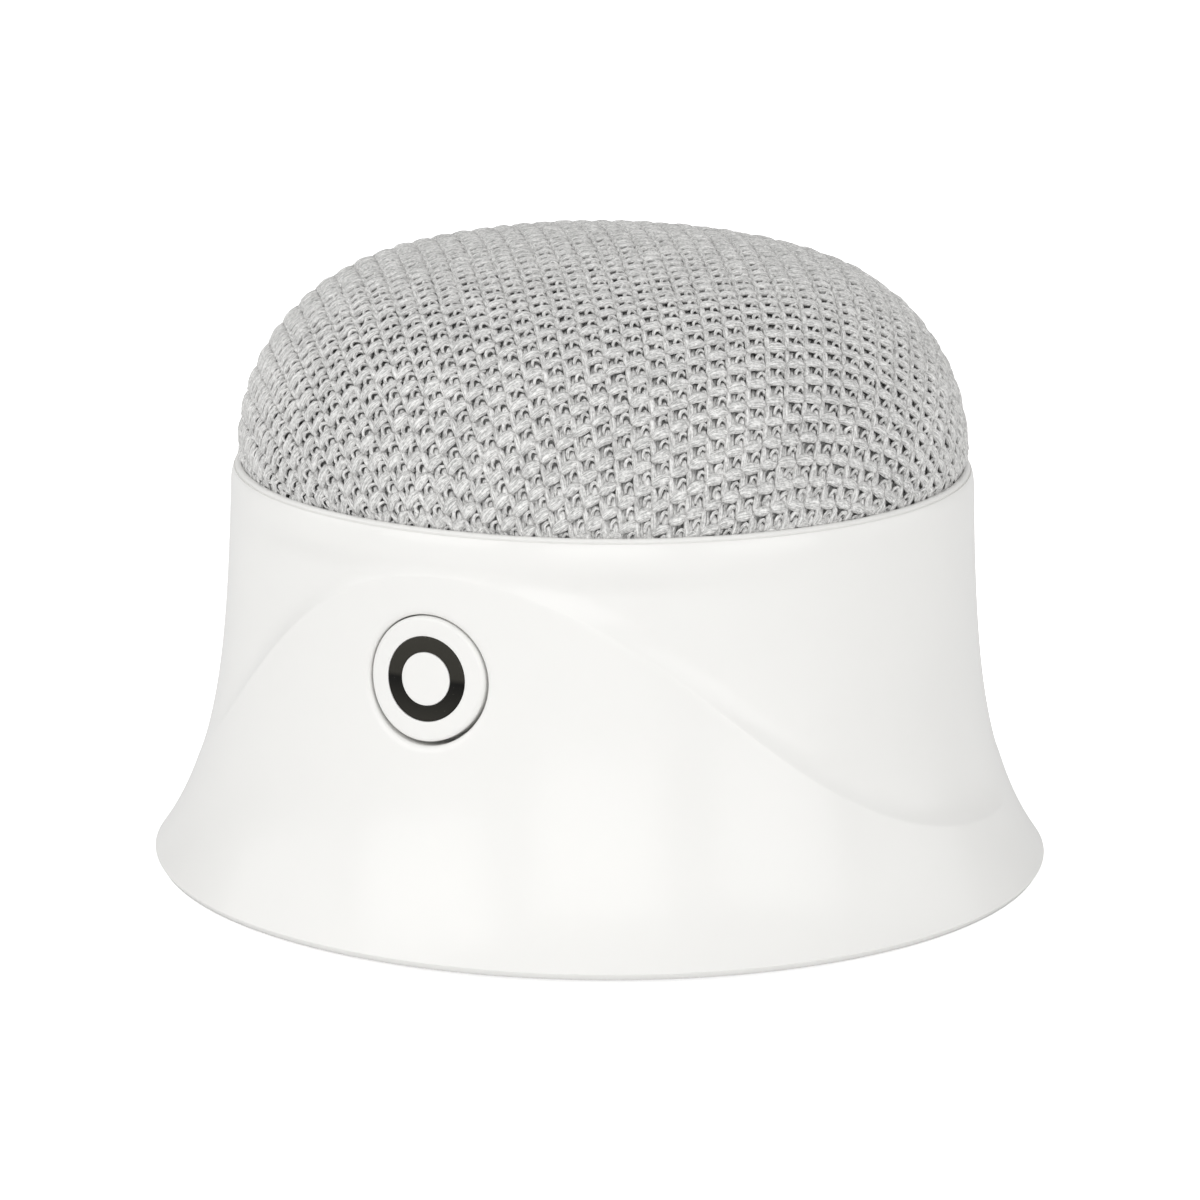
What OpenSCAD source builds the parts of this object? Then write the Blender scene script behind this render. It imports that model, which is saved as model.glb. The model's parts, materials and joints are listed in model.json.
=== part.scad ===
// Small round wireless speaker: a flared shell, a knitted dome over a perforated grille,
// one push button at the front and a charging port at the back.
// Millimetres. +Z is up, the button faces -Y, and Z = 0 is the surface it stands on.

/* [Shell] */
// Largest radius of the shell, just above its foot
base_r = 31; // [30.6:0.1:31.6]
// Radius that the wall settles to towards the rim
neck_r = 25.3; // [25.2:0.05:25.6]
// Height over which the flare dies away to a third
flare_len = 7.9; // [7.4:0.1:8.4]
// Height of the rim above the table
rim_z = 28.15; // [27.95:0.05:28.6]
// Thickness of the shell wall, measured level
wall = 2.2; // [1.9:0.1:2.3]

/* [Dome] */
// Largest radius of the knitted dome
dome_r = 25.07; // [25.05:0.01:25.15]
// Height of the dome's widest ring
dome_wide_z = 28.88; // [28.7:0.01:29.2]
// Radius of the round shoulder
shoulder_r = 13.41; // [13:0.1:14]
// Radius of the flatter crown
crown_r = 59.1; // [50:0.1:70]
// Thickness of the knit
fabric_t = 0.9; // [0.8:0.1:1]
// Thickness of the perforated grille under it
grille_t = 1.1; // [0.9:0.1:1.2]
// Diameter of one hole in the grille
grille_hole_d = 2.8; // [2:0.1:3.4]

/* [Button] */
// Height of the button's centre
button_z = 18.27; // [18:0.1:18.6]
// Diameter of the cap
cap_d = 8.25; // [7.8:0.05:8.35]
// Diameter of its hole in the shell
cap_hole_d = 8.6; // [8.5:0.05:8.8]
// Outer diameter of the ring set in the cap
ring_outer_d = 5.6; // [5:0.1:6.2]
// Inner diameter of the ring set in the cap
ring_inner_d = 3.5; // [2.8:0.1:4]

/* [Driver] */
// Radius of the voice coil former
coil_r = 6.6; // [6.5:0.05:6.65]
// Outer radius of the cone
cone_r = 15.2; // [15:0.1:15.4]
// Height of the driver flange's top face
flange_z = 28; // [27.9:0.1:28.2]

/* [Electronics] */
// Thickness of the battery pouch
battery_t = 5; // [4:0.1:5.4]
// Radius of the main board
board_r = 22.5; // [22:0.1:23]

/* [Hidden] */
$fn = 64;
eps = 0.01;

// shell
foot_z = 0.4;
foot_cut = [0.3, 0.5];
flare_z = foot_z + foot_cut[1];
lip_round = [0.5, 1.4];
lip_r = 24.85;
hem_z = 26.8;
pocket_r = 24.6;
ledge_z = 24.9;
ledge_r = 22.6;
ledge_low_z = 23.6;
wall_top_z = 22.2;
wall_low_z = 3.8;
recess_r = 28;
recess_z = 2.6;
flare_steps = 22;
base_boss_r = 2.2;
rib_size = [3.3, 1.6];
seat_r = 6.25;
seat_t = 1.3;
guide_r = 5.5;
guide_depth = 1.5;
button_boss_r = 1.5;
button_boss_h = 4.5;
button_pilot_depth = 3.2;
pilot_depth = 5;

// dome: the crown and the shoulder arcs meet with one tangent
shoulder_x = dome_r - shoulder_r;
crown_z = dome_wide_z - sqrt(pow(crown_r - shoulder_r, 2) - pow(shoulder_x, 2));
meet_a = atan2(dome_wide_z - crown_z, shoulder_x);
tuck_gap = 0.03;
hem_t = 0.5;
skin_gap = 0.05;
grille_pitch = 4.2;
grille_rings = 4;

// screws shared by the moulded parts
boss_r = 2;
screw_r = 0.8;
pilot_r = 0.85;
clear_r = 0.9;
long_screw = 5;
short_screw = 3.8;
head_r = 1.4;
head_h = 0.9;
corner_angles = [45 : 90 : 315];
side_angles = [0 : 90 : 270];

// base
base_plate_r = 27.85;
base_screw_at = 23.6;
base_boss_top = 9;
base_head_r = 1.7;
base_head_h = 1;
pad_in_r = 20.6;
pad_out_r = 27.6;
pad_t = 1;
ballast_t = 1.5;
ballast_r = 20.8;
tape_size = [26, 20];
tape_t = 0.3;
tape_z = recess_z + ballast_t;
battery_z = tape_z + tape_t;
battery_size = [30, 24];

// main board
board_z = 10.4;
board_t = 1;
board_top = board_z + board_t;
standoffs = [[-10, -17.5], [10, -17.5], [-10, 17.5], [10, 17.5]];
notch_x = 19.6;
notch_w = 4.8;
boss_notch_r = 2.8;
chip_size = [4, 4, 0.9];
amplifier_at = [0, -8];
power_at = [6, 10];
module_at = [-8, 8];
module_board = [11, 15, 0.8];
module_shield = [10, 11.6, 1.3];
antenna_at = [-17.3, 9];
antenna_size = [2, 5, 0.9];
inductor_at = [6.5, -10.5];
inductor_size = [4.4, 4.4, 2];
capacitor_at = [14, -9];
capacitor_foot = [5.3, 5.3, 0.8];
capacitor_r = 2.5;
capacitor_h = 5.2;
connector_x = 16.05;
button_socket = [5.4, 2.2, 1.1];
button_socket_at = 16.5;
mic_socket = [2.2, 4.2, 1.1];
mic_socket_at = 18.6;
connector_size = [4.5, 6, 3.8];
connector_mouth = [2.6, 4.4, 2.4];

// charging port
port_size = [8.94, 3.26];
port_depth = 7.3;
port_front_y = 24.9;
tongue_size = [6.7, port_depth - 1.9, 0.7];
tongue_y = port_front_y - port_depth + 1 + tongue_size[1] / 2;
port_z = board_top + port_size[1] / 2;
port_wall = 0.3;
port_slot = [9.5, 3.8];
port_recess = [11.4, 5.4];
port_recess_depth = 0.8;

// driver, from the yoke up
baffle_z = 25.2;
baffle_t = hem_z - baffle_z;
baffle_r = 24.4;
baffle_hole_r = 19.35;
ear_boss_r = 1.6;
ear_boss_h = 1.2;
seal_r = 24.3;
seal_hole_r = 1.9;
baffle_screw_at = 21.3;
baffle_boss_z = 20;
baffle_pilot_z = baffle_boss_z + 0.8;
ear_at = 20.9;
ear_r = 1.8;
flange_r = 19.7;
flange_in_r = 18;
yoke_r = 9.6;
yoke_in_r = 7.3;
yoke_z = 14.6;
yoke_floor = 2;
magnet_r = 6;
magnet_t = 2.8;
pole_r = 6.15;
pole_t = 1.7;
magnet_z = yoke_z + yoke_floor;
pole_z = magnet_z + magnet_t;
motor_top = pole_z + pole_t;
spider_z = 22.2;
spider_t = 0.3;
spider_out_r = 13.8;
cone_neck_z = 23.9;
cone_t = 0.35;
roll_r = 1.45;
roll_t = 0.4;
coil_t = 0.4;
former_t = 0.15;
coil_low_z = pole_z - 0.8;
frame_rim_r = 19.2;
frame_foot_r = 15.6;
frame_foot_z = motor_top - 1.3;
terminal_x = 17.15;
terminal_strip = [1, 7, 2.8];
terminal_foot = [1.1, 7, 0.8];
frame_neck_z = 21.4;
frame_shoulder_z = 26.2;
spider_land_r = 14.5;
window_size = [8, 8.4, 3.4];
gasket_t = 0.7;
spring_wave = 0.35;

// button, measured along its own axis from the shell's surface
wall_slope = (base_r - neck_r) / flare_len * exp(-(button_z - flare_z) / flare_len);
button_tilt = atan(wall_slope);
seat_w = -2.8;
cap_flange_t = 0.8;
cap_flange_d = 10.4;
cap_play = 0.05;
flange_low_w = seat_w - cap_play - cap_flange_t;
cap_foot_w = -4.6;
switch_front_w = -5.3;
switch_side = 4.6;
button_board_w = -7;
button_board_size = [18.4, 8, 1];
button_boss_x = 7.4;
ring_depth = 0.3;
cap_foot_d = 2.4;
plunger_d = 2;
plunger_tail_w = -6;
plunger_bore_w = -6.6;
led_size = [1.6, 0.8, 0.6];
led_up = 3.2;

// sensor board on the baffle
mic_angle = 22.5;
mic_at = 21.3;
mic_board_size = [2.4, 4.2, 0.6];

// routes of the inner wires and ribbons, as four control points each
speaker_route = [[-17.72, 21.4], [-21.5, 21.4], [-21.5, 13.4], [-18.3, 13.4]];
battery_route = [[15.08, 6.9], [22.2, 6.9], [22.4, 13.3], [18.3, 13.3]];
button_route = [[-18.05, 15.0], [-13.6, 15.4], [-12.6, 12.0], [-15.37, 12.0]];
mic_route = [[21.2, 26.7], [21.2, 20], [21.6, 12], [19.73, 12]];
wire_d = 1.1;
wire_gap = 1.8;
wire_steps = 9;
wire_sides = 8;
ribbon_t = 0.3;
ribbon_steps = 14;

// Outer radius of the shell at a height
function flare_r(z) = neck_r + (base_r - neck_r) * exp(-(z - flare_z) / flare_len);

// Points on an arc in the radius-height plane
function arc(x, z, r, a0, a1, n) =
    [for (i = [0 : n]) let (a = a0 + (a1 - a0) * i / n) [x + r * cos(a), z + r * sin(a)]];

// Points on the flare between two heights, closer together where it curves most
function flare(z0, z1, grow, n) =
    [for (i = [0 : n]) let (z = z0 + (z1 - z0) * pow(i / n, 1.5)) [flare_r(z) + grow, z]];

function reversed(list) = [for (i = [len(list) - 1 : -1 : 0]) list[i]];

// Half outline of the dome, from its top to its foot, moved inwards by inset
function dome_line(inset, low_z) = concat(
    arc(0, crown_z, crown_r - inset, 90, meet_a, 6),
    arc(shoulder_x, dome_wide_z, shoulder_r - inset, meet_a - 5, 0, 14),
    [[lip_r - inset - tuck_gap, rim_z], [lip_r - inset - tuck_gap, low_z]]
);

// Point on a cubic curve with four control points
function bezier(p, t) =
    pow(1 - t, 3) * p[0] + 3 * t * pow(1 - t, 2) * p[1] + 3 * t * t * (1 - t) * p[2] + pow(t, 3) * p[3];

function bezier_line(p, n) = [for (i = [0 : n]) bezier(p, i / n)];

// Unit normal of a line of points at one of them
function side_of(line, i) =
    let (a = line[max(i - 1, 0)], b = line[min(i + 1, len(line) - 1)], d = (b - a) / norm(b - a))
    [-d[1], d[0]];

module at_angles(angles, r) {
    for (a = angles) {
        rotate(a) translate([r, 0, 0]) children();
    }
}

module tube(r_out, r_in, z0, z1) {
    translate([0, 0, z0]) difference() {
        cylinder(r = r_out, h = z1 - z0);
        translate([0, 0, -1]) cylinder(r = r_in, h = z1 - z0 + 2);
    }
}

module box_at(x, y, z0, size) {
    translate([x - size[0] / 2, y - size[1] / 2, z0]) cube(size);
}

// Upright slot with round ends, drawn along +Y
module slot(size, depth) {
    r = size[1] / 2;
    half = size[0] / 2 - r;
    rotate([-90, 0, 0]) {
        translate([-half, -r, 0]) cube([2 * half, size[1], depth]);
        translate([-half, 0, 0]) cylinder(r = r, h = depth);
        translate([half, 0, 0]) cylinder(r = r, h = depth);
    }
}

// Screw with its head's underside at the origin, shaft pointing down
module screw(length, head_r, head_h) {
    cross = head_r * 1.1;
    difference() {
        union() {
            translate([0, 0, -length]) cylinder(r = screw_r, h = length + eps);
            cylinder(r = head_r, h = head_h);
        }
        for (a = [0, 90]) {
            rotate(a) translate([-cross / 2, -0.15, head_h / 2]) cube([cross, 0.3, head_h]);
        }
    }
}

// Frame whose +Z leaves the shell's surface along the button's axis
module at_button() {
    translate([0, -flare_r(button_z), button_z]) rotate([90 - button_tilt, 0, 0]) children();
}

// Solid inside the flare around the button's height, grown outwards
module flare_core(grow) {
    rotate_extrude() polygon(concat([[0, 8]], flare(8, 26, grow, 14), [[0, 26]]));
}

// Flat ribbon along a route, standing on the XZ plane and centred on Y
module ribbon(route, width) {
    line = bezier_line(route, ribbon_steps);
    last = len(line) - 1;
    left = [for (i = [0 : last]) line[i] + side_of(line, i) * ribbon_t / 2];
    right = [for (i = [last : -1 : 0]) line[i] - side_of(line, i) * ribbon_t / 2];
    rotate([90, 0, 0]) linear_extrude(height = width, center = true) polygon(concat(left, right));
}

// Round wire along a route in the XZ plane, at a distance y beside it
module wire(route, y) {
    line = bezier_line(route, wire_steps);
    points = [
        for (i = [0 : wire_steps])
            let (n = side_of(line, i) * wire_d / 2)
                for (k = [0 : wire_sides - 1])
                    let (a = 360 * k / wire_sides)
                        [line[i][0] + n[0] * cos(a), y + sin(a) * wire_d / 2, line[i][1] + n[1] * cos(a)]
    ];
    walls = [
        for (i = [0 : wire_steps - 1], k = [0 : wire_sides - 1])
            let (m = (k + 1) % wire_sides, a = i * wire_sides, b = a + wire_sides)
                [a + k, a + m, b + m, b + k]
    ];
    first = [for (k = [wire_sides - 1 : -1 : 0]) k];
    last = [for (k = [0 : wire_sides - 1]) wire_steps * wire_sides + k];
    polyhedron(points, concat([first], walls, [last]));
}

module wire_pair(route) {
    for (side = [-1, 1]) wire(route, side * wire_gap / 2);
}

// Side-entry connector body with a mouth towards +X
module connector() {
    mouth_x = connector_size[0] / 2 - connector_mouth[0];
    difference() {
        box_at(0, 0, 0, connector_size);
        translate([mouth_x, -connector_mouth[1] / 2, 1]) cube(connector_mouth + [eps, 0, 0]);
    }
}

module outer_shell() {
    shoulder = arc(0, 0, 1, 15, 90, 5);
    lip = [flare_r(rim_z) - lip_round[0], rim_z - lip_round[1]];
    outline = concat(
        [[base_r - foot_cut[0], foot_z]],
        flare(flare_z, rim_z - lip_round[1], 0, flare_steps),
        [for (p = shoulder) [lip[0] + lip_round[0] * p[0], lip[1] + lip_round[1] * p[1]]],
        [[lip_r, rim_z], [lip_r, hem_z], [pocket_r, hem_z], [pocket_r, ledge_z],
         [ledge_r, ledge_z], [ledge_r, ledge_low_z]],
        reversed(flare(wall_low_z, wall_top_z, -wall, 12)),
        [[flare_r(wall_low_z) - wall, recess_z], [recess_r, recess_z], [recess_r, foot_z]]
    );
    color("white") difference() {
        union() {
            rotate_extrude() polygon(outline);
            at_angles(corner_angles, base_screw_at) {
                translate([0, 0, recess_z]) {
                    cylinder(r = base_boss_r, h = base_boss_top - recess_z);
                    translate([0, -rib_size[1] / 2, 0]) cube(concat(rib_size, base_boss_top - recess_z));
                }
            }
            at_angles(corner_angles, baffle_screw_at) {
                translate([0, 0, baffle_boss_z]) {
                    cylinder(r = boss_r, h = ledge_z - skin_gap - baffle_boss_z);
                }
            }
            at_button() {
                translate([0, 0, seat_w]) cylinder(r = seat_r, h = seat_t);
                for (side = [-1, 1]) translate([side * button_boss_x, 0, button_board_w]) {
                    cylinder(r = button_boss_r, h = button_boss_h);
                }
            }
        }
        at_angles(corner_angles, base_screw_at) {
            translate([0, 0, recess_z - 1]) cylinder(r = pilot_r, h = pilot_depth + 1);
        }
        at_angles(corner_angles, baffle_screw_at) {
            translate([0, 0, baffle_pilot_z]) cylinder(r = pilot_r, h = ledge_z - baffle_pilot_z + 1);
        }
        at_button() {
            translate([0, 0, -8]) cylinder(d = cap_hole_d, h = 12);
            translate([0, 0, seat_w - guide_depth]) cylinder(r = guide_r, h = guide_depth);
            for (side = [-1, 1]) translate([side * button_boss_x, 0, button_board_w - 1]) {
                cylinder(r = pilot_r, h = button_pilot_depth + 1);
            }
        }
        translate([0, port_front_y - 3, port_z]) slot(port_slot, 8);
        translate([0, flare_r(port_z) - port_recess_depth, port_z]) slot(port_recess, 4);
    }
}

module fabric_cover() {
    outside = dome_line(0, hem_z + skin_gap);
    inside = dome_line(fabric_t, hem_z + hem_t);
    hem = [[ledge_r + 0.5, hem_z + skin_gap], [ledge_r + 0.5, hem_z + hem_t]];
    color("lightgray") rotate_extrude() polygon(concat(outside, hem, reversed(inside)));
}

module grille_dome() {
    low_z = hem_z + hem_t + skin_gap;
    outside = dome_line(fabric_t + skin_gap, low_z);
    inside = dome_line(fabric_t + skin_gap + grille_t, low_z);
    color("gray") difference() {
        rotate_extrude() polygon(concat(outside, reversed(inside)));
        for (ring = [0 : grille_rings], k = [0 : max(6 * ring, 1) - 1]) {
            rotate(60 * k / max(ring, 1)) translate([ring * grille_pitch, 0, dome_wide_z + 4]) {
                cylinder(d = grille_hole_d, h = 14);
            }
        }
    }
}

module baffle() {
    color("dimgray") difference() {
        union() {
            translate([0, 0, baffle_z]) cylinder(r = baffle_r, h = baffle_t);
            at_angles(side_angles, ear_at) translate([0, 0, baffle_z - ear_boss_h]) {
                cylinder(r = ear_boss_r, h = ear_boss_h + eps);
            }
        }
        translate([0, 0, baffle_z - 3]) cylinder(r = baffle_hole_r, h = 8);
        at_angles(corner_angles, baffle_screw_at) translate([0, 0, baffle_z - 1]) {
            cylinder(r = pilot_r + 0.15, h = 4);
        }
        at_angles(side_angles, ear_at) translate([0, 0, baffle_z - 3]) cylinder(r = pilot_r, h = 8);
        rotate(mic_angle) box_at(mic_at, 0, baffle_z - 1, [0.9, 3.2, 4]);
    }
}

module baffle_seal() {
    color("black") difference() {
        tube(seal_r, ledge_r + 0.2, ledge_z, baffle_z);
        at_angles(corner_angles, baffle_screw_at) translate([0, 0, ledge_z - 1]) {
            cylinder(r = seal_hole_r, h = 3);
        }
    }
}

module baffle_screws() {
    color("silver") at_angles(corner_angles, baffle_screw_at) translate([0, 0, hem_z]) {
        screw(long_screw, head_r, head_h);
    }
}

module driver_frame() {
    outside = [
        [flange_r, flange_z], [flange_r, hem_z], [frame_rim_r, hem_z], [frame_rim_r, frame_shoulder_z],
        [frame_foot_r, frame_neck_z], [frame_foot_r, frame_foot_z], [yoke_r + skin_gap, frame_foot_z]
    ];
    inside = [
        [yoke_r + skin_gap, motor_top], [12, motor_top], [12, spider_z], [spider_land_r, spider_z],
        [flange_in_r, hem_z], [flange_in_r, flange_z]
    ];
    color("darkslategray") difference() {
        union() {
            rotate_extrude() polygon(concat(outside, inside));
            at_angles(side_angles, ear_at) translate([0, 0, hem_z]) {
                cylinder(r = ear_r, h = flange_z - hem_z);
            }
        }
        translate([0, 0, hem_z - 2]) cylinder(r = flange_in_r, h = 6);
        at_angles(side_angles, ear_at) translate([0, 0, hem_z - 2]) cylinder(r = clear_r, h = 6);
        for (a = [30 : 60 : 330]) {
            rotate(a) translate([spider_land_r + 0.2, -window_size[1] / 2, spider_z + 0.3]) {
                cube(window_size);
            }
        }
    }
}

module yoke_cup() {
    color("silver") translate([0, 0, yoke_z]) difference() {
        cylinder(r = yoke_r, h = motor_top - yoke_z);
        translate([0, 0, yoke_floor]) cylinder(r = yoke_in_r, h = motor_top - yoke_z);
    }
}

module driver_magnet() {
    color("slategray") translate([0, 0, magnet_z]) cylinder(r = magnet_r, h = magnet_t);
}

module pole_plate() {
    color("silver") translate([0, 0, pole_z]) cylinder(r = pole_r, h = pole_t);
}

module voice_coil() {
    color("peru") tube(coil_r + coil_t, coil_r, coil_low_z, motor_top + 0.5);
}

module coil_former() {
    color("tan") tube(coil_r, coil_r - former_t, coil_low_z, cone_neck_z + 0.3);
}

module spider() {
    waves = 3;
    steps = 36;
    inner = coil_r + 0.05;
    land = 1;
    span = spider_out_r - land - inner;
    top = [
        for (i = [0 : steps])
            let (rise = spring_wave * (1 - cos(360 * waves * i / steps)))
                [inner + span * i / steps, spider_z + spider_t + rise]
    ];
    low = [for (p = reversed(top)) [p[0], p[1] - spider_t]];
    edge = [[spider_out_r, spider_z + spider_t], [spider_out_r, spider_z]];
    color("gold") rotate_extrude() polygon(concat(top, edge, low));
}

module cone() {
    slope = [[coil_r, cone_neck_z], [cone_r - 1, flange_z - 0.1], [cone_r, flange_z - 0.1]];
    inside = [for (p = reversed(slope)) [p[0], p[1] + cone_t]];
    color([0.16, 0.16, 0.17]) rotate_extrude() polygon(concat(slope, inside));
}

module surround() {
    roll_x = cone_r + roll_r - roll_t;
    land_z = flange_z + cone_t;
    outside = arc(roll_x, land_z, roll_r, 180, 0, 12);
    inside = arc(roll_x, land_z, roll_r - roll_t, 0, 180, 12);
    color("black") rotate_extrude() {
        polygon(concat(outside, inside));
        translate([cone_r - 0.9, land_z - 0.1]) square([0.91, roll_t]);
        land_in = roll_x + roll_r - roll_t;
        translate([land_in, flange_z]) square([frame_rim_r - land_in, roll_t]);
    }
}

module dust_cap() {
    edge_r = coil_r + 1;
    cap_r = 14;
    half = asin(edge_r / cap_r);
    low_z = cone_neck_z + cone_t + 0.85;
    centre = low_z - cap_r * cos(half);
    outside = arc(0, centre, cap_r, 90 - half, 90, 8);
    inside = arc(0, centre, cap_r - 0.3, 90, 90 - half, 8);
    color("dimgray") rotate_extrude() polygon(concat(outside, inside));
}

module driver_gasket() {
    color("black") tube(frame_rim_r, frame_rim_r - 1, flange_z + roll_t, flange_z + roll_t + gasket_t);
}

module driver_terminals() {
    color("sienna") {
        box_at(-terminal_x, 0, frame_foot_z, terminal_strip);
        box_at(-terminal_x + terminal_strip[0], 0, frame_foot_z, terminal_foot);
    }
}

module driver_screws() {
    color("silver") at_angles(side_angles, ear_at) translate([0, 0, flange_z]) {
        screw(short_screw, head_r, head_h);
    }
}

module ring_space(grow) {
    difference() {
        at_button() tube(ring_outer_d / 2 - grow, ring_inner_d / 2 + grow, -3, 2);
        flare_core(-ring_depth);
    }
}

module button_cap() {
    color("white") {
        difference() {
            intersection() {
                at_button() translate([0, 0, seat_w - cap_play]) cylinder(d = cap_d, h = 5);
                flare_core(0.05);
            }
            ring_space(0);
        }
        at_button() {
            translate([0, 0, flange_low_w]) cylinder(d = cap_flange_d, h = cap_flange_t);
            translate([0, 0, cap_foot_w]) cylinder(d = cap_foot_d, h = flange_low_w - cap_foot_w + eps);
        }
    }
}

module button_ring() {
    color([0.22, 0.22, 0.2]) intersection() {
        ring_space(0.02);
        flare_core(0.07);
    }
}

module switch_plunger() {
    color("black") at_button() translate([0, 0, plunger_tail_w]) {
        cylinder(d = plunger_d, h = cap_foot_w - plunger_tail_w);
    }
}

module switch_body() {
    height = switch_front_w - button_board_w;
    color("gray") at_button() difference() {
        box_at(0, 0, button_board_w, [switch_side, switch_side, height]);
        translate([0, 0, plunger_bore_w]) cylinder(d = plunger_d + 0.2, h = 4);
    }
}

module button_board() {
    back_w = button_board_w - button_board_size[2];
    color("darkgreen") at_button() difference() {
        box_at(0, 0, back_w, button_board_size);
        for (side = [-1, 1]) translate([side * button_boss_x, 0, back_w - 1]) {
            cylinder(r = clear_r, h = 4);
        }
    }
}

module button_board_screws() {
    color("silver") at_button() for (side = [-1, 1]) {
        translate([side * button_boss_x, 0, button_board_w - button_board_size[2]]) {
            rotate([180, 0, 0]) screw(short_screw, head_r - 0.1, head_h - 0.1);
        }
    }
}

module status_led() {
    color("ivory") at_button() box_at(0, led_up, button_board_w, led_size);
}

module button_ribbon() {
    color("white") rotate(90) ribbon(button_route, 4);
}

module main_board() {
    color("darkgreen") difference() {
        translate([0, 0, board_z]) cylinder(r = board_r, h = board_t);
        at_angles(corner_angles, base_screw_at) translate([0, 0, board_z - 1]) {
            cylinder(r = boss_notch_r, h = 4);
        }
        for (p = standoffs) translate([p[0], p[1], board_z - 1]) cylinder(r = clear_r, h = 4);
        translate([notch_x, -notch_w / 2, board_z - 1]) cube([5, notch_w, 4]);
    }
}

module wireless_module() {
    color("silver") {
        box_at(module_at[0], module_at[1], board_top, module_board);
        box_at(module_at[0], module_at[1] - 1, board_top + module_board[2], module_shield);
    }
}

module antenna() {
    color("ivory") box_at(antenna_at[0], antenna_at[1], board_top, antenna_size);
}

module amplifier_chip() {
    color("black") box_at(amplifier_at[0], amplifier_at[1], board_top, chip_size);
}

module power_chip() {
    color("black") box_at(power_at[0], power_at[1], board_top, chip_size);
}

module inductors() {
    color("dimgray") for (side = [-1, 1]) {
        box_at(side * inductor_at[0], inductor_at[1], board_top, inductor_size);
    }
}

module capacitors() {
    color("silver") for (side = [-1, 1]) {
        translate([side * capacitor_at[0], capacitor_at[1], board_top]) {
            box_at(0, 0, 0, capacitor_foot);
            cylinder(r = capacitor_r, h = capacitor_h);
        }
    }
}

module usb_socket() {
    inner = [port_size[0] - 2 * port_wall, port_size[1] - 2 * port_wall];
    color("silver") difference() {
        translate([0, port_front_y - port_depth, port_z]) slot(port_size, port_depth);
        translate([0, port_front_y - port_depth + 1, port_z]) slot(inner, port_depth);
    }
}

module usb_tongue() {
    color("black") box_at(0, tongue_y, port_z - tongue_size[2] / 2, tongue_size);
}

module battery_connector() {
    color("ivory") translate([connector_x, 0, board_top]) connector();
}

module speaker_connector() {
    color("ivory") translate([-connector_x, 0, board_top]) rotate(180) connector();
}

module ribbon_sockets() {
    color("ivory") {
        box_at(0, -button_socket_at, board_top, button_socket);
        rotate(mic_angle) box_at(mic_socket_at, 0, board_top, mic_socket);
    }
}

module microphone() {
    color("gold") rotate(mic_angle) box_at(mic_at, 0, hem_z + mic_board_size[2], [2, 3, 0.9]);
}

module mic_board() {
    color("darkgreen") rotate(mic_angle) box_at(mic_at, 0, hem_z, mic_board_size);
}

module mic_ribbon() {
    color("orange") rotate(mic_angle) ribbon(mic_route, 2.6);
}

module board_screws() {
    color("silver") for (p = standoffs) translate([p[0], p[1], board_top]) {
        screw(long_screw - 1, head_r, head_h);
    }
}

module base_plate() {
    color("gainsboro") difference() {
        union() {
            translate([0, 0, foot_z]) cylinder(r = base_plate_r, h = recess_z - foot_z);
            for (p = standoffs) translate([p[0], p[1], recess_z - eps]) {
                cylinder(r = boss_r, h = board_z - recess_z);
            }
        }
        tube(pad_out_r + 0.1, pad_in_r - 0.1, foot_z - 1, pad_t);
        at_angles(corner_angles, base_screw_at) {
            translate([0, 0, -1]) cylinder(r = pilot_r + 0.15, h = 6);
            translate([0, 0, -1]) cylinder(r = base_head_r + 0.1, h = pad_t + 1 + base_head_h);
        }
        for (p = standoffs) translate([p[0], p[1], board_z - 5]) cylinder(r = pilot_r, h = 8);
    }
}

module base_pad() {
    color("dimgray") tube(pad_out_r, pad_in_r, 0, pad_t);
}

module base_screws() {
    color("silver") at_angles(corner_angles, base_screw_at) {
        translate([0, 0, pad_t + base_head_h]) rotate([180, 0, 0]) {
            screw(long_screw, base_head_r, base_head_h - skin_gap);
        }
    }
}

module ballast_plate() {
    color("slategray") difference() {
        translate([0, 0, recess_z]) cylinder(r = ballast_r, h = ballast_t);
        for (p = standoffs) translate([p[0], p[1], 0]) cylinder(r = boss_r + 0.3, h = 9);
    }
}

module battery() {
    color("lightsteelblue") box_at(0, 0, battery_z, [battery_size[0], battery_size[1], battery_t]);
}

module battery_tape() {
    color("orange") box_at(0, 0, tape_z, [tape_size[0], tape_size[1], tape_t]);
}

module battery_wires() {
    color("firebrick") wire_pair(battery_route);
}

module speaker_wires() {
    color("black") wire_pair(speaker_route);
}

outer_shell();
fabric_cover();
grille_dome();
baffle();
baffle_seal();
baffle_screws();
driver_frame();
yoke_cup();
driver_magnet();
pole_plate();
voice_coil();
coil_former();
spider();
cone();
surround();
dust_cap();
driver_gasket();
driver_terminals();
driver_screws();
button_cap();
button_ring();
switch_plunger();
switch_body();
button_board();
button_board_screws();
status_led();
button_ribbon();
main_board();
wireless_module();
antenna();
amplifier_chip();
power_chip();
inductors();
capacitors();
usb_socket();
usb_tongue();
battery_connector();
speaker_connector();
ribbon_sockets();
microphone();
mic_board();
mic_ribbon();
board_screws();
base_plate();
base_pad();
base_screws();
ballast_plate();
battery();
battery_tape();
battery_wires();
speaker_wires();
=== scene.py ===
"""Small round wireless speaker: the looks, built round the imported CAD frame. Sizes in millimetres."""

import copy
import json
import math
from functools import partial

import bmesh
import bpy
import numpy as np
from mathutils import Matrix, Vector


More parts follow.
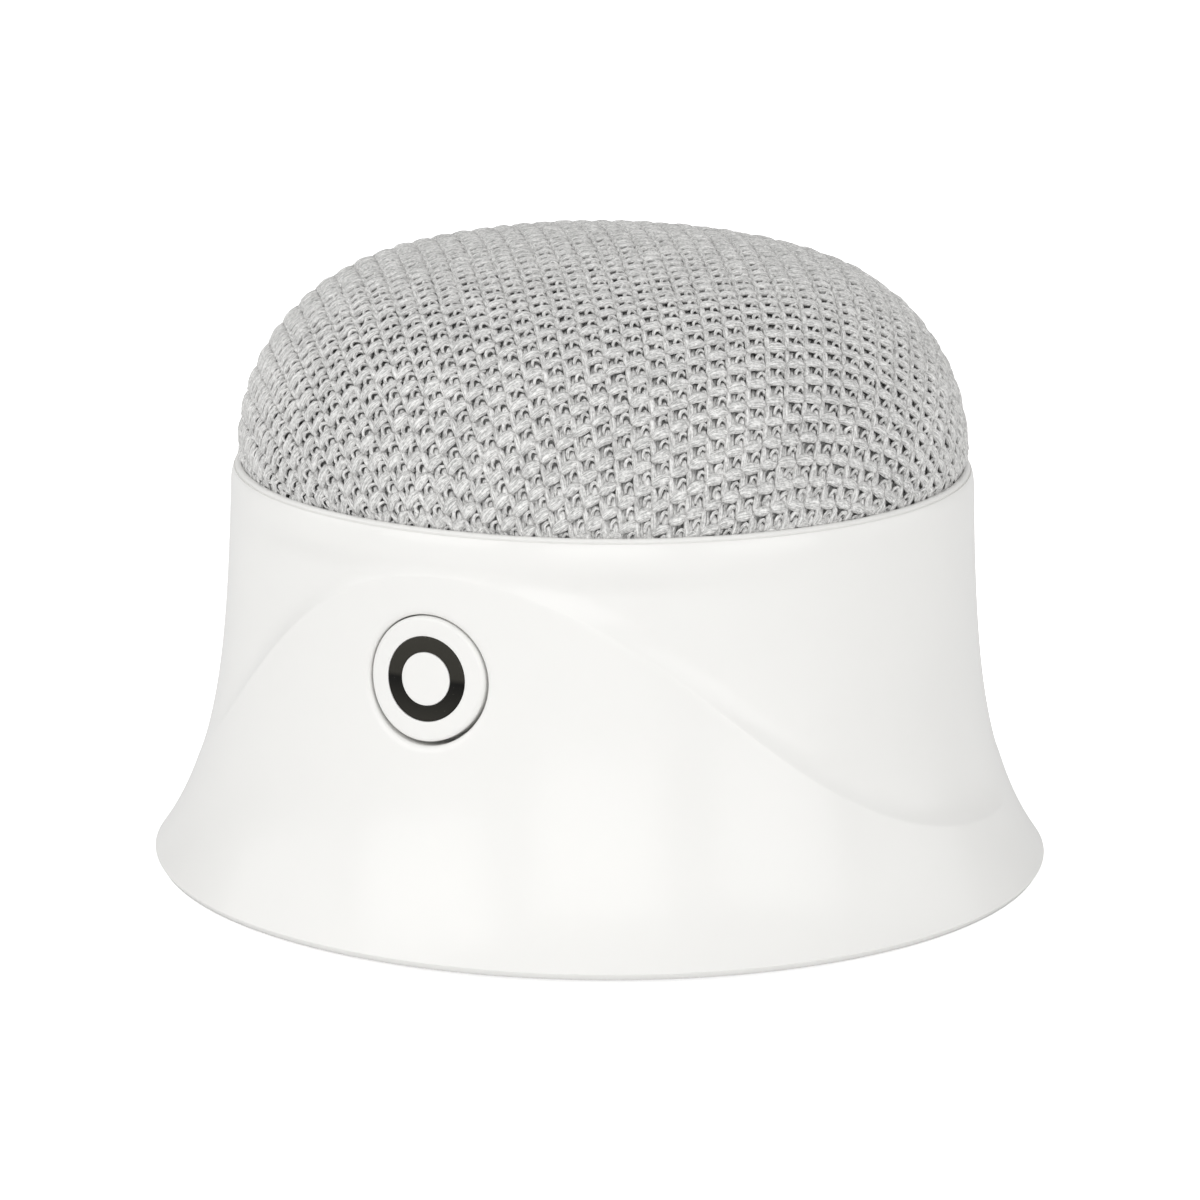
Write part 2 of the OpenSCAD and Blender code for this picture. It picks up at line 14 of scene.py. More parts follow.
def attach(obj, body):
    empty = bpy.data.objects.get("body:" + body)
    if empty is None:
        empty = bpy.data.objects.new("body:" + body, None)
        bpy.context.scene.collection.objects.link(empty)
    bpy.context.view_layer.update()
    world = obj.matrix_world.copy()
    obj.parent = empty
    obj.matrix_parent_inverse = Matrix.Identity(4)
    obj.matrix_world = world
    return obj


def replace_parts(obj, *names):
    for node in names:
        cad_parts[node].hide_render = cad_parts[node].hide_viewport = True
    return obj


MM = 0.001
RNG = np.random.default_rng(7)

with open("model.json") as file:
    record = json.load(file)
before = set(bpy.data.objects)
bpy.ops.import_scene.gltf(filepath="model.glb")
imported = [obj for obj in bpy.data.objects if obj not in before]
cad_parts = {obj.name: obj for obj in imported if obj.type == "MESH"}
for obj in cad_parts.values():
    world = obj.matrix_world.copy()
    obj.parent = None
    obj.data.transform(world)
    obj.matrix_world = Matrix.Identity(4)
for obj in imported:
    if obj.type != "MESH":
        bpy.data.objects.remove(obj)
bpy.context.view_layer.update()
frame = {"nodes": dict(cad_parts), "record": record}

# ---------------------------------------------------------------- sizes, mostly those of the CAD source
BASE_R = 31.0
NECK_R = 25.3
FLARE_LEN = 7.9
FOOT_Z = 0.4
# Width and height of the bevel at the foot.
FOOT_CUT = (0.3, 0.5)
FLARE_Z = FOOT_Z + FOOT_CUT[1]
RIM_Z = 28.15
WALL = 2.2
# Width and height of the lip's rounded shoulder, which is a little fuller than the CAD's.
LIP_ROUND = (0.55, 1.65)
LIP_LOW_Z = RIM_Z - LIP_ROUND[1]
LIP_R = 24.8
HEM_Z = 26.8
POCKET_R = 24.6
LEDGE_Z = 24.9
LEDGE_R = 22.6
LEDGE_LOW_Z = 23.6
WALL_TOP_Z = 22.9
WALL_LOW_Z = 3.8
RECESS_R = 28.0
RECESS_Z = 2.6

# The knitted dome's outline: a flat crown arc that turns into a tighter shoulder arc.
DOME_R = 25.07
DOME_WIDE_Z = 28.88
SHOULDER_R = 13.41
CROWN_R = 59.1
SHOULDER_X = DOME_R - SHOULDER_R
CROWN_Z = DOME_WIDE_Z - math.sqrt((CROWN_R - SHOULDER_R) ** 2 - SHOULDER_X**2)
MEET_A = math.atan2(DOME_WIDE_Z - CROWN_Z, SHOULDER_X)

# The button. W is measured outwards from the shell's skin, square to it.
BUTTON_Z = 18.27
CAP_R = 4.125
CAP_HOLE_R = 4.3
RING_OUT_R = 2.8
RING_IN_R = 1.75
RING_DEPTH = 0.3
SEAT_W = -2.8
CAP_FLANGE_R = 5.2
CAP_FLANGE_T = 0.8
CAP_PLAY = 0.05
CAP_FOOT_W = -4.6

# The slot at the back and the recess round it, as (width, height).
PORT_Z = 13.03
PORT_SLOT = (9.5, 3.8)
PORT_RECESS = (11.4, 5.4)
PORT_RECESS_DEPTH = 0.8

# Closed outlines, as (radius, height), of the seat behind the cap and of the screw posts.
SEAT_RING = ((CAP_HOLE_R, SEAT_W), (6.25, SEAT_W), (6.25, -1.5), (CAP_HOLE_R, -1.5))
BUTTON_POST_X = 7.4
BUTTON_POST = ((0.85, -7.0), (1.5, -7.0), (1.5, -2.4), (0.85, -3.8))
POST_TURNS = (45, 135, 225, 315)
BASE_POST_AT = 23.6
BASE_POST = ((0.85, 2.6), (2.2, 2.6), (2.2, 9.0), (0.85, 9.0))
BAFFLE_POST_AT = 21.3
BAFFLE_POST = ((0.85, 20.8), (2.0, 20.0), (2.0, 24.85), (0.85, 24.85))
SEAT_SIDES, POST_SIDES, BUTTON_SIDES = 64, 24, 128


def flare_r(z):
    """Outer radius of the shell at a height."""
    return NECK_R + (BASE_R - NECK_R) * np.exp(-(z - FLARE_Z) / FLARE_LEN)


def smooth(low, high, x):
    """0 below low, 1 above high, and a smooth turn between."""
    t = np.clip((x - low) / (high - low), 0, 1)
    return t * t * (3 - 2 * t)


# ---------------------------------------------------------------- the wave-shaped relief of the shell
# Mean height, then (lobes, height, turn in degrees) of each wave of the line, from the button round.
WAVE_MEAN = 14.82
WAVES = ((2, 10.06, 4.8), (4, 0.72, -4.0), (6, 0.38, -25.1))
# Height of the swelling along the line and how far it reaches to each side.
RAISED, RAISED_WIDE = 0.05, 8.0
# Depth of the fall above the line, how far it takes to fall and how far it takes to ease back.
DIP, FALL_WIDE, DIP_WIDE = 0.46, 1.7, 14.0
# How softly the shell turns from the swelling into the fall.
CREASE = 0.08
# Where round the shell the relief fades, in degrees, from which closeness to it on, and by how much.
FADE_AT, FADE_FROM, FADED = 118, 0.6, 0.85
# Heights of the line between which it weakens towards its crests, and by how much.
CREST_LOW_Z, CREST_HIGH_Z, CREST_FADED = 19, 25, 0.35
# Heights between which the relief starts over the foot and ends under the lip.
START_LOW_Z, START_HIGH_Z = 1.2, 4.0
END_LOW_Z, END_HIGH_Z = 24.4, LIP_LOW_Z - 0.1


def wave_z(phi):
    """Height of the relief line; phi runs from the button, in radians."""
    return WAVE_MEAN + sum(a * np.cos(n * (phi - math.radians(d))) for n, a, d in WAVES)


def wave_slope(phi):
    """How steeply the relief line climbs as it goes round the shell."""
    rise = -sum(n * a * np.sin(n * (phi - math.radians(d))) for n, a, d in WAVES)
    return rise / flare_r(wave_z(phi))


def relief(phi, z):
    """How far the shell stands out from its plain flare: it falls away above the line and eases back."""
    line = wave_z(phi)
    away = (z - line) / np.sqrt(1 + wave_slope(phi) ** 2)
    above = (away + np.sqrt(away**2 + CREASE**2)) / 2
    fall = 1 - (1 - np.clip(above / FALL_WIDE, 0, 1)) ** 2
    raised = RAISED * (1 - smooth(0, RAISED_WIDE, np.abs(away)))
    dip = DIP * fall * (1 - smooth(FALL_WIDE, DIP_WIDE, away))
    sideways = np.cos(2 * (phi - math.radians(FADE_AT)))
    crest = smooth(CREST_LOW_Z, CREST_HIGH_Z, line)
    strength = 1 - FADED * smooth(FADE_FROM, 1.0, sideways) - CREST_FADED * crest
    ends = smooth(START_LOW_Z, START_HIGH_Z, z) * (1 - smooth(END_LOW_Z, END_HIGH_Z, z))
    return (raised - dip) * ends * strength


def shell_r(phi, z):
    """Radius of the shell's outer skin."""
    return flare_r(z) + relief(phi, z)


def inner_r(phi, z):
    """Radius of the shell's inner skin, which has no relief."""
    return flare_r(z) - WALL


def at(radius, phi, z):
    """Point at an angle from the button, which faces -Y."""
    return np.stack(np.broadcast_arrays(radius * np.sin(phi), -radius * np.cos(phi), z), -1)


# ---------------------------------------------------------------- mesh helpers
def add_object(name, points, faces, body, material, slot, uvs=None, sharp=38):
    """Object from points in millimetres that rides on a CAD body."""
    mesh = bpy.data.meshes.new(name)
    mesh.from_pydata((np.asarray(points) * MM).tolist(), [], faces)
    mesh.update()
    if uvs is not None:
        corners = np.empty(len(mesh.loops), np.int32)
        mesh.loops.foreach_get("vertex_index", corners)
        layer = mesh.uv_layers.new(name="yarn")
        layer.data.foreach_set("uv", np.asarray(uvs, np.float32)[corners].ravel())
    mesh.shade_smooth()
    if sharp:
        mesh.set_sharp_from_angle(angle=math.radians(sharp))
    mesh.materials.append(material)
    obj = bpy.data.objects.new(name, mesh)
    bpy.context.scene.collection.objects.link(obj)
    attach(obj, body)
    return obj


class Builder:
    """Collects points and faces, and drops the points that no face uses."""

    def __init__(self):
        self.points = []
        self.faces = []

    def add(self, points):
        first = len(self.points)
        self.points.extend(np.asarray(points, float).reshape(-1, 3))
        return list(range(first, len(self.points)))

    def bridge(self, a, b):
        """Quads between two closed loops of as many points."""
        n = len(a)
        for i in range(n):
            j = (i + 1) % n
            self.faces.append((a[i], a[j], b[j], b[i]))

    def revolve(self, profile, steps, place=lambda p: p):
        """Closed ring from a closed profile of (radius, height) points."""
        turn = 2 * math.pi * np.arange(steps) / steps
        loops = [
            self.add(place(np.stack([r * np.cos(turn), r * np.sin(turn), np.full(steps, h)], -1)))
            for r, h in profile
        ]
        for low, high in zip(loops, loops[1:] + loops[:1]):
            self.bridge(low, high)

    def compact(self):
        used = sorted({i for f in self.faces for i in f})
        index = {old: new for new, old in enumerate(used)}
        faces = [tuple(index[i] for i in f) for f in self.faces]
        return np.array([self.points[i] for i in used]), faces


ONTO_STEPS = 6


class Spot:
    """A place on the shell with its own axis: x to the side, h upwards, w outwards."""

    def __init__(self, phi, z, tilt, radius):
        side = np.array([math.cos(phi), math.sin(phi), 0])
        level = np.array([math.sin(phi), -math.cos(phi), 0])
        self.centre = at(radius, phi, z)
        self.x = side
        self.w = level * math.cos(tilt) + np.array([0, 0, math.sin(tilt)])
        self.h = np.cross(self.w, side)

    def flat(self, points):
        """The x and h of points."""
        away = np.asarray(points) - self.centre
        return np.stack([away @ self.x, away @ self.h], -1)

    def place(self, x, h, w):
        """Points from x, h and w."""
        x, h, w = np.broadcast_arrays(x, h, w)
        return self.centre + x[..., None] * self.x + h[..., None] * self.h + w[..., None] * self.w

    def onto(self, x, h, radius_of, lift=0.0):
        """Points over (x, h) on the surface whose radius is radius_of(phi, z), lifted along w."""
        w = np.zeros(np.broadcast(x, h).shape)
        for _ in range(ONTO_STEPS):
            p = self.place(x, h, w)
            phi = np.arctan2(p[..., 0], -p[..., 1])
            w = w + radius_of(phi, p[..., 2]) - np.hypot(p[..., 0], p[..., 1])
        return self.place(x, h, w + lift)


def slot_line(angles, half, r):
    """Where rays at these angles meet a slot long in x, of half straight length half and end radius r."""
    c, s = np.cos(angles), np.sin(angles)
    on_side = r * np.abs(c) <= half * np.abs(s)
    side = r / np.maximum(np.abs(s), 1e-9)
    end = half * np.abs(c) + np.sqrt(np.maximum(r * r - (half * s) ** 2, 0))
    reach = np.where(on_side, side, end)
    return np.stack([reach * c, reach * s], -1)


# ---------------------------------------------------------------- shell
COLUMNS = 480
ROWS_BELOW = 42
ROWS_ABOVE = 30
ROW_CROWDING = 1.6
# Box of the grid that each opening takes: columns to each side, millimetres down and up.
BUTTON_BLOCK = (17, 6.4, 4.9)
PORT_BLOCK = (22, 4.4, 4.4)
# Width and depth of the rounded edge of each opening.
HOLE_ROUND, HOLE_SINK = 0.55, 0.26
PORT_ROUND, PORT_SINK = 0.25, 0.2
EDGE_STEPS = 6
# Shares of the way from the box's edge to the opening at which loops lie, on the outer and inner skin.
OUTER_SHARES, INNER_SHARES = (0.3, 0.55, 0.75, 0.9), (0.85, 0.5)
# Radius of the lip's inner edge, and the fine groove round its shoulder: angle, half width, depth.
LIP_EDGE = 0.06
SEAM_AT, SEAM_HALF, SEAM_DEPTH = 59, 4.6, 0.13
# Rounding of the foot's outer edge, and the cut at its inner one.
FOOT_EDGE, FOOT_SOFT = 0.1, 0.15
# Heights between which the rows of both skins are level with each other.
LEVEL_LOW_Z, LEVEL_HIGH_Z = 8.0, 21.5


def shell_rows(phi):
    """Heights of the skin's rows, crowded about the relief line."""
    line = wave_z(phi)
    down = [(1 - i / ROWS_BELOW) ** ROW_CROWDING for i in range(ROWS_BELOW)]
    up = [(i / ROWS_ABOVE) ** ROW_CROWDING for i in range(ROWS_ABOVE + 1)]
    below = [line - (line - FLARE_Z) * share for share in down]
    above = [line + (LIP_LOW_Z - line) * share for share in up]
    return np.array(below + above)


def inner_z(z):
    """Height on the inner skin of a row of the outer one: the same, but for the wall's ends."""
    low, high = LEVEL_LOW_Z, LEVEL_HIGH_Z
    z = np.where(z < low, WALL_LOW_Z + (z - FLARE_Z) * (low - WALL_LOW_Z) / (low - FLARE_Z), z)
    return np.where(z > high, high + (z - high) * (WALL_TOP_Z - high) / (LIP_LOW_Z - high), z)


def arc(x, z, r, a0, a1, n):
    """Points of an arc round (x, z) from a0 to a1 degrees."""
    turn = np.radians(np.linspace(a0, a1, n + 1))
    return [(x + r * math.cos(t), z + r * math.sin(t)) for t in turn]


def lip_line():
    """Outline of the lip: soft shoulder with a fine groove, the edge the knit meets, and the inside."""
    deg = np.array([6, 14, 22, 30, 38, 46, 52, 54.4, 55.5, 57, 59, 61, 62.5, 63.6, 66, 71, 77, 83, 90.0])
    turn = np.radians(deg)
    sunk = SEAM_DEPTH * np.maximum(0, 1 - ((deg - SEAM_AT) / SEAM_HALF) ** 2)
    r = flare_r(LIP_LOW_Z) - LIP_ROUND[0] + (LIP_ROUND[0] - sunk) * np.cos(turn)
    z = LIP_LOW_Z + LIP_ROUND[1] * np.sin(turn) - sunk * np.sin(turn)
    edge = arc(LIP_R + LIP_EDGE, RIM_Z - LIP_EDGE, LIP_EDGE, 90, 180, 4)
    pocket = [(LIP_R, HEM_Z), (POCKET_R, HEM_Z), (POCKET_R, LEDGE_Z)]
    return list(zip(r, z)) + edge + pocket + [(LEDGE_R, LEDGE_Z), (LEDGE_R, LEDGE_LOW_Z)]


def cut_block(skin_z, middle_col, spot, block):
    """Index box of the grid that holds an opening: columns about middle_col, rows about its height."""
    half, down, up = block
    z = skin_z[:, middle_col % COLUMNS]
    mid = spot.centre[2]
    k0 = int(np.searchsorted(z, mid - down)) - 1
    k1 = int(np.searchsorted(z, mid + up))
    return middle_col - half, middle_col + half, k0, k1


def border(c0, c1, k0, k1):
    """The box's edge as (column, row), once round."""
    low = [(c, k0) for c in range(c0, c1 + 1)]
    right = [(c1, k) for k in range(k0 + 1, k1 + 1)]
    high = [(c, k1) for c in range(c1 - 1, c0 - 1, -1)]
    left = [(c0, k) for k in range(k1 - 1, k0, -1)]
    return low + right + high + left


def blend_rings(b, spot, edge, outline, radius_of, shares):
    """Loops on the skin between the box's edge and an outline, edge excluded."""
    start = spot.flat(np.array([b.points[i] for i in edge]))
    return [b.add(spot.onto(*((1 - t) * start + t * outline).T, radius_of)) for t in shares]


def open_hole(b, outer_edge, inner_edge, spot, stages):
    """Joins the skins round an opening by stages of (outline function, mode, depth), outside first."""
    flat = spot.flat(np.array([b.points[i] for i in outer_edge]))
    angles = np.arctan2(flat[:, 1], flat[:, 0])
    first = stages[0][0](angles)
    loops = [outer_edge] + blend_rings(b, spot, outer_edge, first, shell_r, OUTER_SHARES)
    for outline_of, mode, depth in stages:
        outline = outline_of(angles)
        if mode == "skin":
            loops.append(b.add(spot.onto(*outline.T, shell_r, -depth)))
        elif mode == "level":
            loops.append(b.add(spot.place(*outline.T, depth)))
        else:
            loops.append(b.add(spot.onto(*outline.T, inner_r)))
    loops += blend_rings(b, spot, inner_edge, outline, inner_r, INNER_SHARES) + [inner_edge]
    for low, high in zip(loops, loops[1:]):
        b.bridge(low, high)


def round_stages(half, r, wide, sink):
    """The rounded edge of an opening: it starts this wide of the edge and is sink deep at it."""
    made = []
    for i in range(EDGE_STEPS + 1):
        a = math.pi / 2 * i / EDGE_STEPS
        grow, deep = wide * (1 - math.sin(a)), sink * (1 - math.cos(a))
        made.append((partial(slot_line, half=half, r=r + grow), "skin", deep))
    return made


def button_stages():
    """The button's hole, from its rounded edge straight through the wall."""
    outline = partial(slot_line, half=0.0, r=CAP_HOLE_R)
    bore = [(outline, "level", w) for w in (-0.7, -1.4)]
    return round_stages(0.0, CAP_HOLE_R, HOLE_ROUND, HOLE_SINK) + bore + [(outline, "inner", None)]


def port_stages():
    """The port's opening: a rounded edge, a flat-bottomed recess, and a slot through its bed."""
    recess_half, recess_r = (PORT_RECESS[0] - PORT_RECESS[1]) / 2, PORT_RECESS[1] / 2
    slot_half, slot_r = (PORT_SLOT[0] - PORT_SLOT[1]) / 2, PORT_SLOT[1] / 2
    bed = -PORT_RECESS_DEPTH
    stages = round_stages(recess_half, recess_r, PORT_ROUND, PORT_SINK)
    for grow, w in ((0.0, bed + 0.15), (-0.05, bed + 0.05), (-0.15, bed), (-0.5, bed)):
        stages.append((partial(slot_line, half=recess_half, r=recess_r + grow), "level", w))
    for grow, w in ((0.1, bed), (0.03, bed - 0.03), (0.0, bed - 0.1), (0.0, bed - 1.0)):
        stages.append((partial(slot_line, half=slot_half, r=slot_r + grow), "level", w))
    return stages + [(partial(slot_line, half=slot_half, r=slot_r), "inner", None)]


def foot_line():
    """Outline of the foot, from the base plate's recess to the crisp bevel outside."""
    turn = -math.degrees(math.atan2(*FOOT_CUT))
    bevel_r = BASE_R - FOOT_CUT[0]
    inside = [(RECESS_R, RECESS_Z), (RECESS_R, FOOT_Z + FOOT_SOFT), (RECESS_R + FOOT_SOFT, FOOT_Z)]
    under = [(bevel_r - 0.03, FOOT_Z), (bevel_r + 0.01, FOOT_Z + 0.015)]
    return inside + under + arc(BASE_R - FOOT_EDGE, FLARE_Z, FOOT_EDGE, turn, 0, 3)[:-1]


def add_posts(b, button):
    """The seat behind the cap, the two posts of the button's board and the eight of base and baffle."""
    b.revolve(SEAT_RING, SEAT_SIDES, lambda p: button.place(*p.T))
    for x in (-BUTTON_POST_X, BUTTON_POST_X):
        b.revolve(BUTTON_POST, POST_SIDES, lambda p: button.place(p[:, 0] + x, p[:, 1], p[:, 2]))
    for a in np.radians(POST_TURNS):
        for radius, outline in ((BASE_POST_AT, BASE_POST), (BAFFLE_POST_AT, BAFFLE_POST)):
            offset = np.array([radius * math.cos(a), radius * math.sin(a), 0])
            b.revolve(outline, POST_SIDES, lambda p: p + offset)


def build_shell(material):
    """The shell with its two openings. Gives back the button's place on it."""
    b = Builder()
    phi = 2 * math.pi * np.arange(COLUMNS) / COLUMNS
    z = shell_rows(phi)
    outer = [b.add(at(shell_r(phi, row), phi, row)) for row in z]
    inner = [b.add(at(inner_r(phi, row), phi, row)) for row in inner_z(z)]

    slope = (BASE_R - NECK_R) / FLARE_LEN * math.exp(-(BUTTON_Z - FLARE_Z) / FLARE_LEN)
    button = Spot(0.0, BUTTON_Z, math.atan(slope), flare_r(BUTTON_Z))
    port = Spot(math.pi, PORT_Z, 0.0, flare_r(PORT_Z))
    boxes = [cut_block(z, 0, button, BUTTON_BLOCK), cut_block(z, COLUMNS // 2, port, PORT_BLOCK)]

    def covered(c, k):
        for c0, c1, k0, k1 in boxes:
            for shift in (0, -COLUMNS):
                if c0 <= c + shift < c1 and k0 <= k < k1:
                    return True
        return False

    for k in range(len(z) - 1):
        for c in range(COLUMNS):
            if covered(c, k):
                continue
            d = (c + 1) % COLUMNS
            b.faces.append((outer[k][c], outer[k][d], outer[k + 1][d], outer[k + 1][c]))
            b.faces.append((inner[k][d], inner[k][c], inner[k + 1][c], inner[k + 1][d]))

    for outline, first, last in ((lip_line(), outer[-1], inner[-1]), (foot_line(), inner[0], outer[0])):
        loops = [first] + [b.add(at(r, phi, h)) for r, h in outline] + [last]
        for low, high in zip(loops, loops[1:]):
            b.bridge(low, high)

    for spot, box, stages in zip((button, port), boxes, (button_stages(), port_stages())):
        edges = [[skin[k][c % COLUMNS] for c, k in border(*box)] for skin in (outer, inner)]
        open_hole(b, *edges, spot, stages)
    add_posts(b, button)

    shell = add_object("shell", *b.compact(), "case", material, "shell_white")
    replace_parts(shell, "outer_shell")
    return button


# ---------------------------------------------------------------- button
# How far the cap and ring sit from the hole's middle, and how far they stand out of the shell's skin.
CAP_SHIFT = (0.0, 0.1)
CAP_PROUD = 0.04
# Radii of the rounded edges, and the ring's gap to the sides of its groove.
CAP_ROUND, GROOVE_ROUND, RING_ROUND = 0.28, 0.05, 0.07
RING_GAP = 0.02
CAP_FOOT_R = 1.2
CAP_CHAMFER = 0.1


def cap_skin(phi, z):
    """Radius of the cap's face about the speaker's axis: it follows the shell."""
    return shell_r(phi, z) + CAP_PROUD


def disc(b, spot, loops, turn, radius_of):
    """Skin of loops (radius, mode, depth), closed at both ends with one point."""
    ids = []
    for r, mode, depth in loops:
        x, h = r * np.cos(turn), r * np.sin(turn)
        if mode == "skin":
            ids.append(b.add(spot.onto(x, h, radius_of, -depth)))
        else:
            ids.append(b.add(spot.place(x, h, depth)))
    for low, high in zip(ids, ids[1:]):
        b.bridge(low, high)
    for loop, flip in ((ids[0], True), (ids[-1], False)):
        hub = b.add(np.mean([b.points[i] for i in loop], 0))[0]
        n = len(loop)
        for i in range(n):
            j = (i + 1) % n
            b.faces.append((hub, loop[j], loop[i]) if flip else (hub, loop[i], loop[j]))


def rounded(r, depth, f, steps, outward):
    """Loops of an edge rounded by f down to radius r, from inside it (outward 1) or outside it (-1)."""
    made = []
    for i in range(steps + 1):
        a = math.pi / 2 * i / steps
        made.append((r - outward * f * (1 - math.sin(a)), "skin", depth + f * (1 - math.cos(a))))
    return made


def cap_loops():
    """The cap from the middle of its face, over the ring's groove and the rim, to its foot behind."""
    seat = SEAT_W - CAP_PLAY
    back = seat - CAP_FLANGE_T
    loops = [(r, "skin", 0) for r in (0.3, 0.8, 1.3)]
    loops += rounded(RING_IN_R, 0, GROOVE_ROUND, 3, 1)
    loops += [(RING_IN_R, "skin", RING_DEPTH), (RING_OUT_R, "skin", RING_DEPTH)]
    loops += rounded(RING_OUT_R, 0, GROOVE_ROUND, 3, -1)[::-1]
    loops += [(r, "skin", 0) for r in (3.2, 3.6)]
    loops += rounded(CAP_R, 0, CAP_ROUND, 7, 1)
    behind = [(CAP_R, -1.2), (CAP_R, seat + CAP_CHAMFER), (CAP_R, seat)]
    behind += [(CAP_FLANGE_R - CAP_CHAMFER, seat), (CAP_FLANGE_R, seat - CAP_CHAMFER)]
    behind += [(CAP_FLANGE_R, back), (CAP_FOOT_R, back), (CAP_FOOT_R, CAP_FOOT_W + CAP_CHAMFER)]
    behind += [(CAP_FOOT_R - CAP_CHAMFER, CAP_FOOT_W), (0.5, CAP_FOOT_W)]
    return loops + [(r, "level", w) for r, w in behind]


def ring_loops():
    """The ring's closed section: down its outer side, along its bed, up its inner side, over its face."""
    face_in, face_out = RING_IN_R + RING_GAP, RING_OUT_R - RING_GAP
    top, bed = -RING_GAP, RING_DEPTH - RING_GAP
    loops = rounded(face_out, top, RING_ROUND, 4, 1) + [(face_out, "skin", bed), (face_in, "skin", bed)]
    loops += rounded(face_in, top, RING_ROUND, 4, -1)[::-1]
    return loops + [((face_in * (3 - i) + face_out * i) / 3, "skin", top) for i in (1, 2)]


def build_button(hole, white, ring_dark):
    """Cap and ring, which hang a little high in the hole."""
    spot = copy.copy(hole)
    spot.centre = hole.place(*CAP_SHIFT, 0.0)
    turn = -2 * math.pi * np.arange(BUTTON_SIDES) / BUTTON_SIDES

    cap = Builder()
    disc(cap, spot, cap_loops(), turn, cap_skin)
    obj = add_object("cap", *cap.compact(), "button", white, "shell_white")
    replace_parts(obj, "button_cap")

    ring = Builder()
    ids = []
    for r, _, depth in ring_loops():
        ids.append(ring.add(spot.onto(r * np.cos(turn), r * np.sin(turn), cap_skin, -depth)))
    for low, high in zip(ids, ids[1:] + ids[:1]):
        ring.bridge(low, high)
    obj = add_object("ring", *ring.compact(), "button", ring_dark, "ring_dark")
    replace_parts(obj, "button_ring")


# ---------------------------------------------------------------- knit
# Turn of the photograph's view from the button, in degrees, which the knit's rows follow too.
VIEW_AZ = 26.0
# Lengths along the dome from its top to where the crown meets the shoulder, and to the rim.
CROWN_LEN = CROWN_R * (math.pi / 2 - MEET_A)
RIM_LEN = CROWN_LEN + SHOULDER_R * MEET_A
# Inside the lip the cloth hangs at this radius. It gets there between these lengths past the rim, and then
# come the hem's turn, the last stitches and the end of their yarn.
TUCK_R = LIP_R - 0.03
TUCK_START, TUCK_END = 0.3, DOME_WIDE_Z - RIM_Z + 0.1
HEM_LEN, STITCH_LEN, TUCK_LEN = 1.75, 2.0, 2.6
# The yarn is lifted this far along the rim, between these distances past it.
RIM_LIFT, LIFT_FROM, LIFT_TO = 0.14, -0.4, 0.7
# Above this height over the rim the yarn may bulge over the lip, and how fast.
BULGE_Z, BULGE_RATE = 0.15, 0.6
# The cloth behind the stitches: its depth, the length of its hem, and its mesh's sides and rows.
BACKING_W, BACKING_HEM = -0.62, 2.0
BACKING_SIDES, BACKING_ROWS = 180, 60

# Columns and courses are counted over the flat cloth, u to the right of the photograph's view and v away
# from it, in millimetres. Both spread towards the rim, where the cloth is stretched most.
COLUMN_RATE, COLUMN_SPREAD, COLUMN_LEAN = 0.708, 7e-5, 0.085
COURSE_RATE, COURSE_SPREAD = 0.80, 6e-5
COURSE_BEND, BEND_WIDE, BEND_DEEP = 6e-4, 20, 12
STITCH_RATE = 0.728
# Steps that find a flat place, and how far out it may lie.
FLAT_STEPS, FLAT_FAR = 16, RIM_LEN + 5

# How much a whole stitch strays and how much its points do: in height, in millimetres, and in radius, as
# a share. In place, a stitch strays by its row's jitter and its points by half of it.
HEIGHT_JITTER, POINT_HEIGHT_JITTER = 0.02, 0.012
RADIUS_JITTER, POINT_RADIUS_JITTER = 0.07, 0.04

# The yarn pieces of a stitch: name, sides and flatness of the tube, jitter, and the path's points, which
# are (to the right, away, height, radius) in millimetres from the middle of the stitch's round hole.
YARNS = (
    ("knit_bars", 7, 0.5, 0.03,
     ((-1.14, 0.26, -0.33, 0.16), (-0.98, 0.34, -0.23, 0.28), (-0.74, 0.48, -0.18, 0.38),
      (-0.44, 0.62, -0.18, 0.42), (-0.16, 0.72, -0.21, 0.40), (0.08, 0.78, -0.26, 0.315),
      (0.24, 0.76, -0.34, 0.165))),
    ("knit_loops", 6, 0.85, 0.03,
     ((0.22, 0.10, -0.46, 0.10), (0.10, 0.22, -0.30, 0.125), (-0.10, 0.24, -0.16, 0.135),
      (-0.28, 0.12, -0.13, 0.135), (-0.36, -0.08, -0.18, 0.125), (-0.34, -0.28, -0.30, 0.11),
      (-0.24, -0.42, -0.46, 0.09))),
    ("knit_lumps", 7, 0.85, 0.03,
     ((0.00, 0.03, -0.56, 0.12), (0.01, -0.12, -0.40, 0.20), (0.03, -0.32, -0.33, 0.24),
      (0.06, -0.54, -0.38, 0.22), (0.08, -0.78, -0.50, 0.16))),
    ("knit_wales", 7, 0.85, 0.02,
     ((0.26, 0.86, -0.36, 0.16), (0.34, 0.55, -0.28, 0.22), (0.42, 0.15, -0.28, 0.23),
      (0.50, -0.25, -0.33, 0.22), (0.57, -0.64, -0.44, 0.18))),
    ("knit_fill", 6, 0.85, 0.03,
     ((-0.64, -0.84, -0.42, 0.20), (-0.62, -0.54, -0.38, 0.23), (-0.60, -0.27, -0.43, 0.21),
      (-0.58, -0.02, -0.54, 0.18), (-0.55, 0.28, -0.54, 0.16))),
)


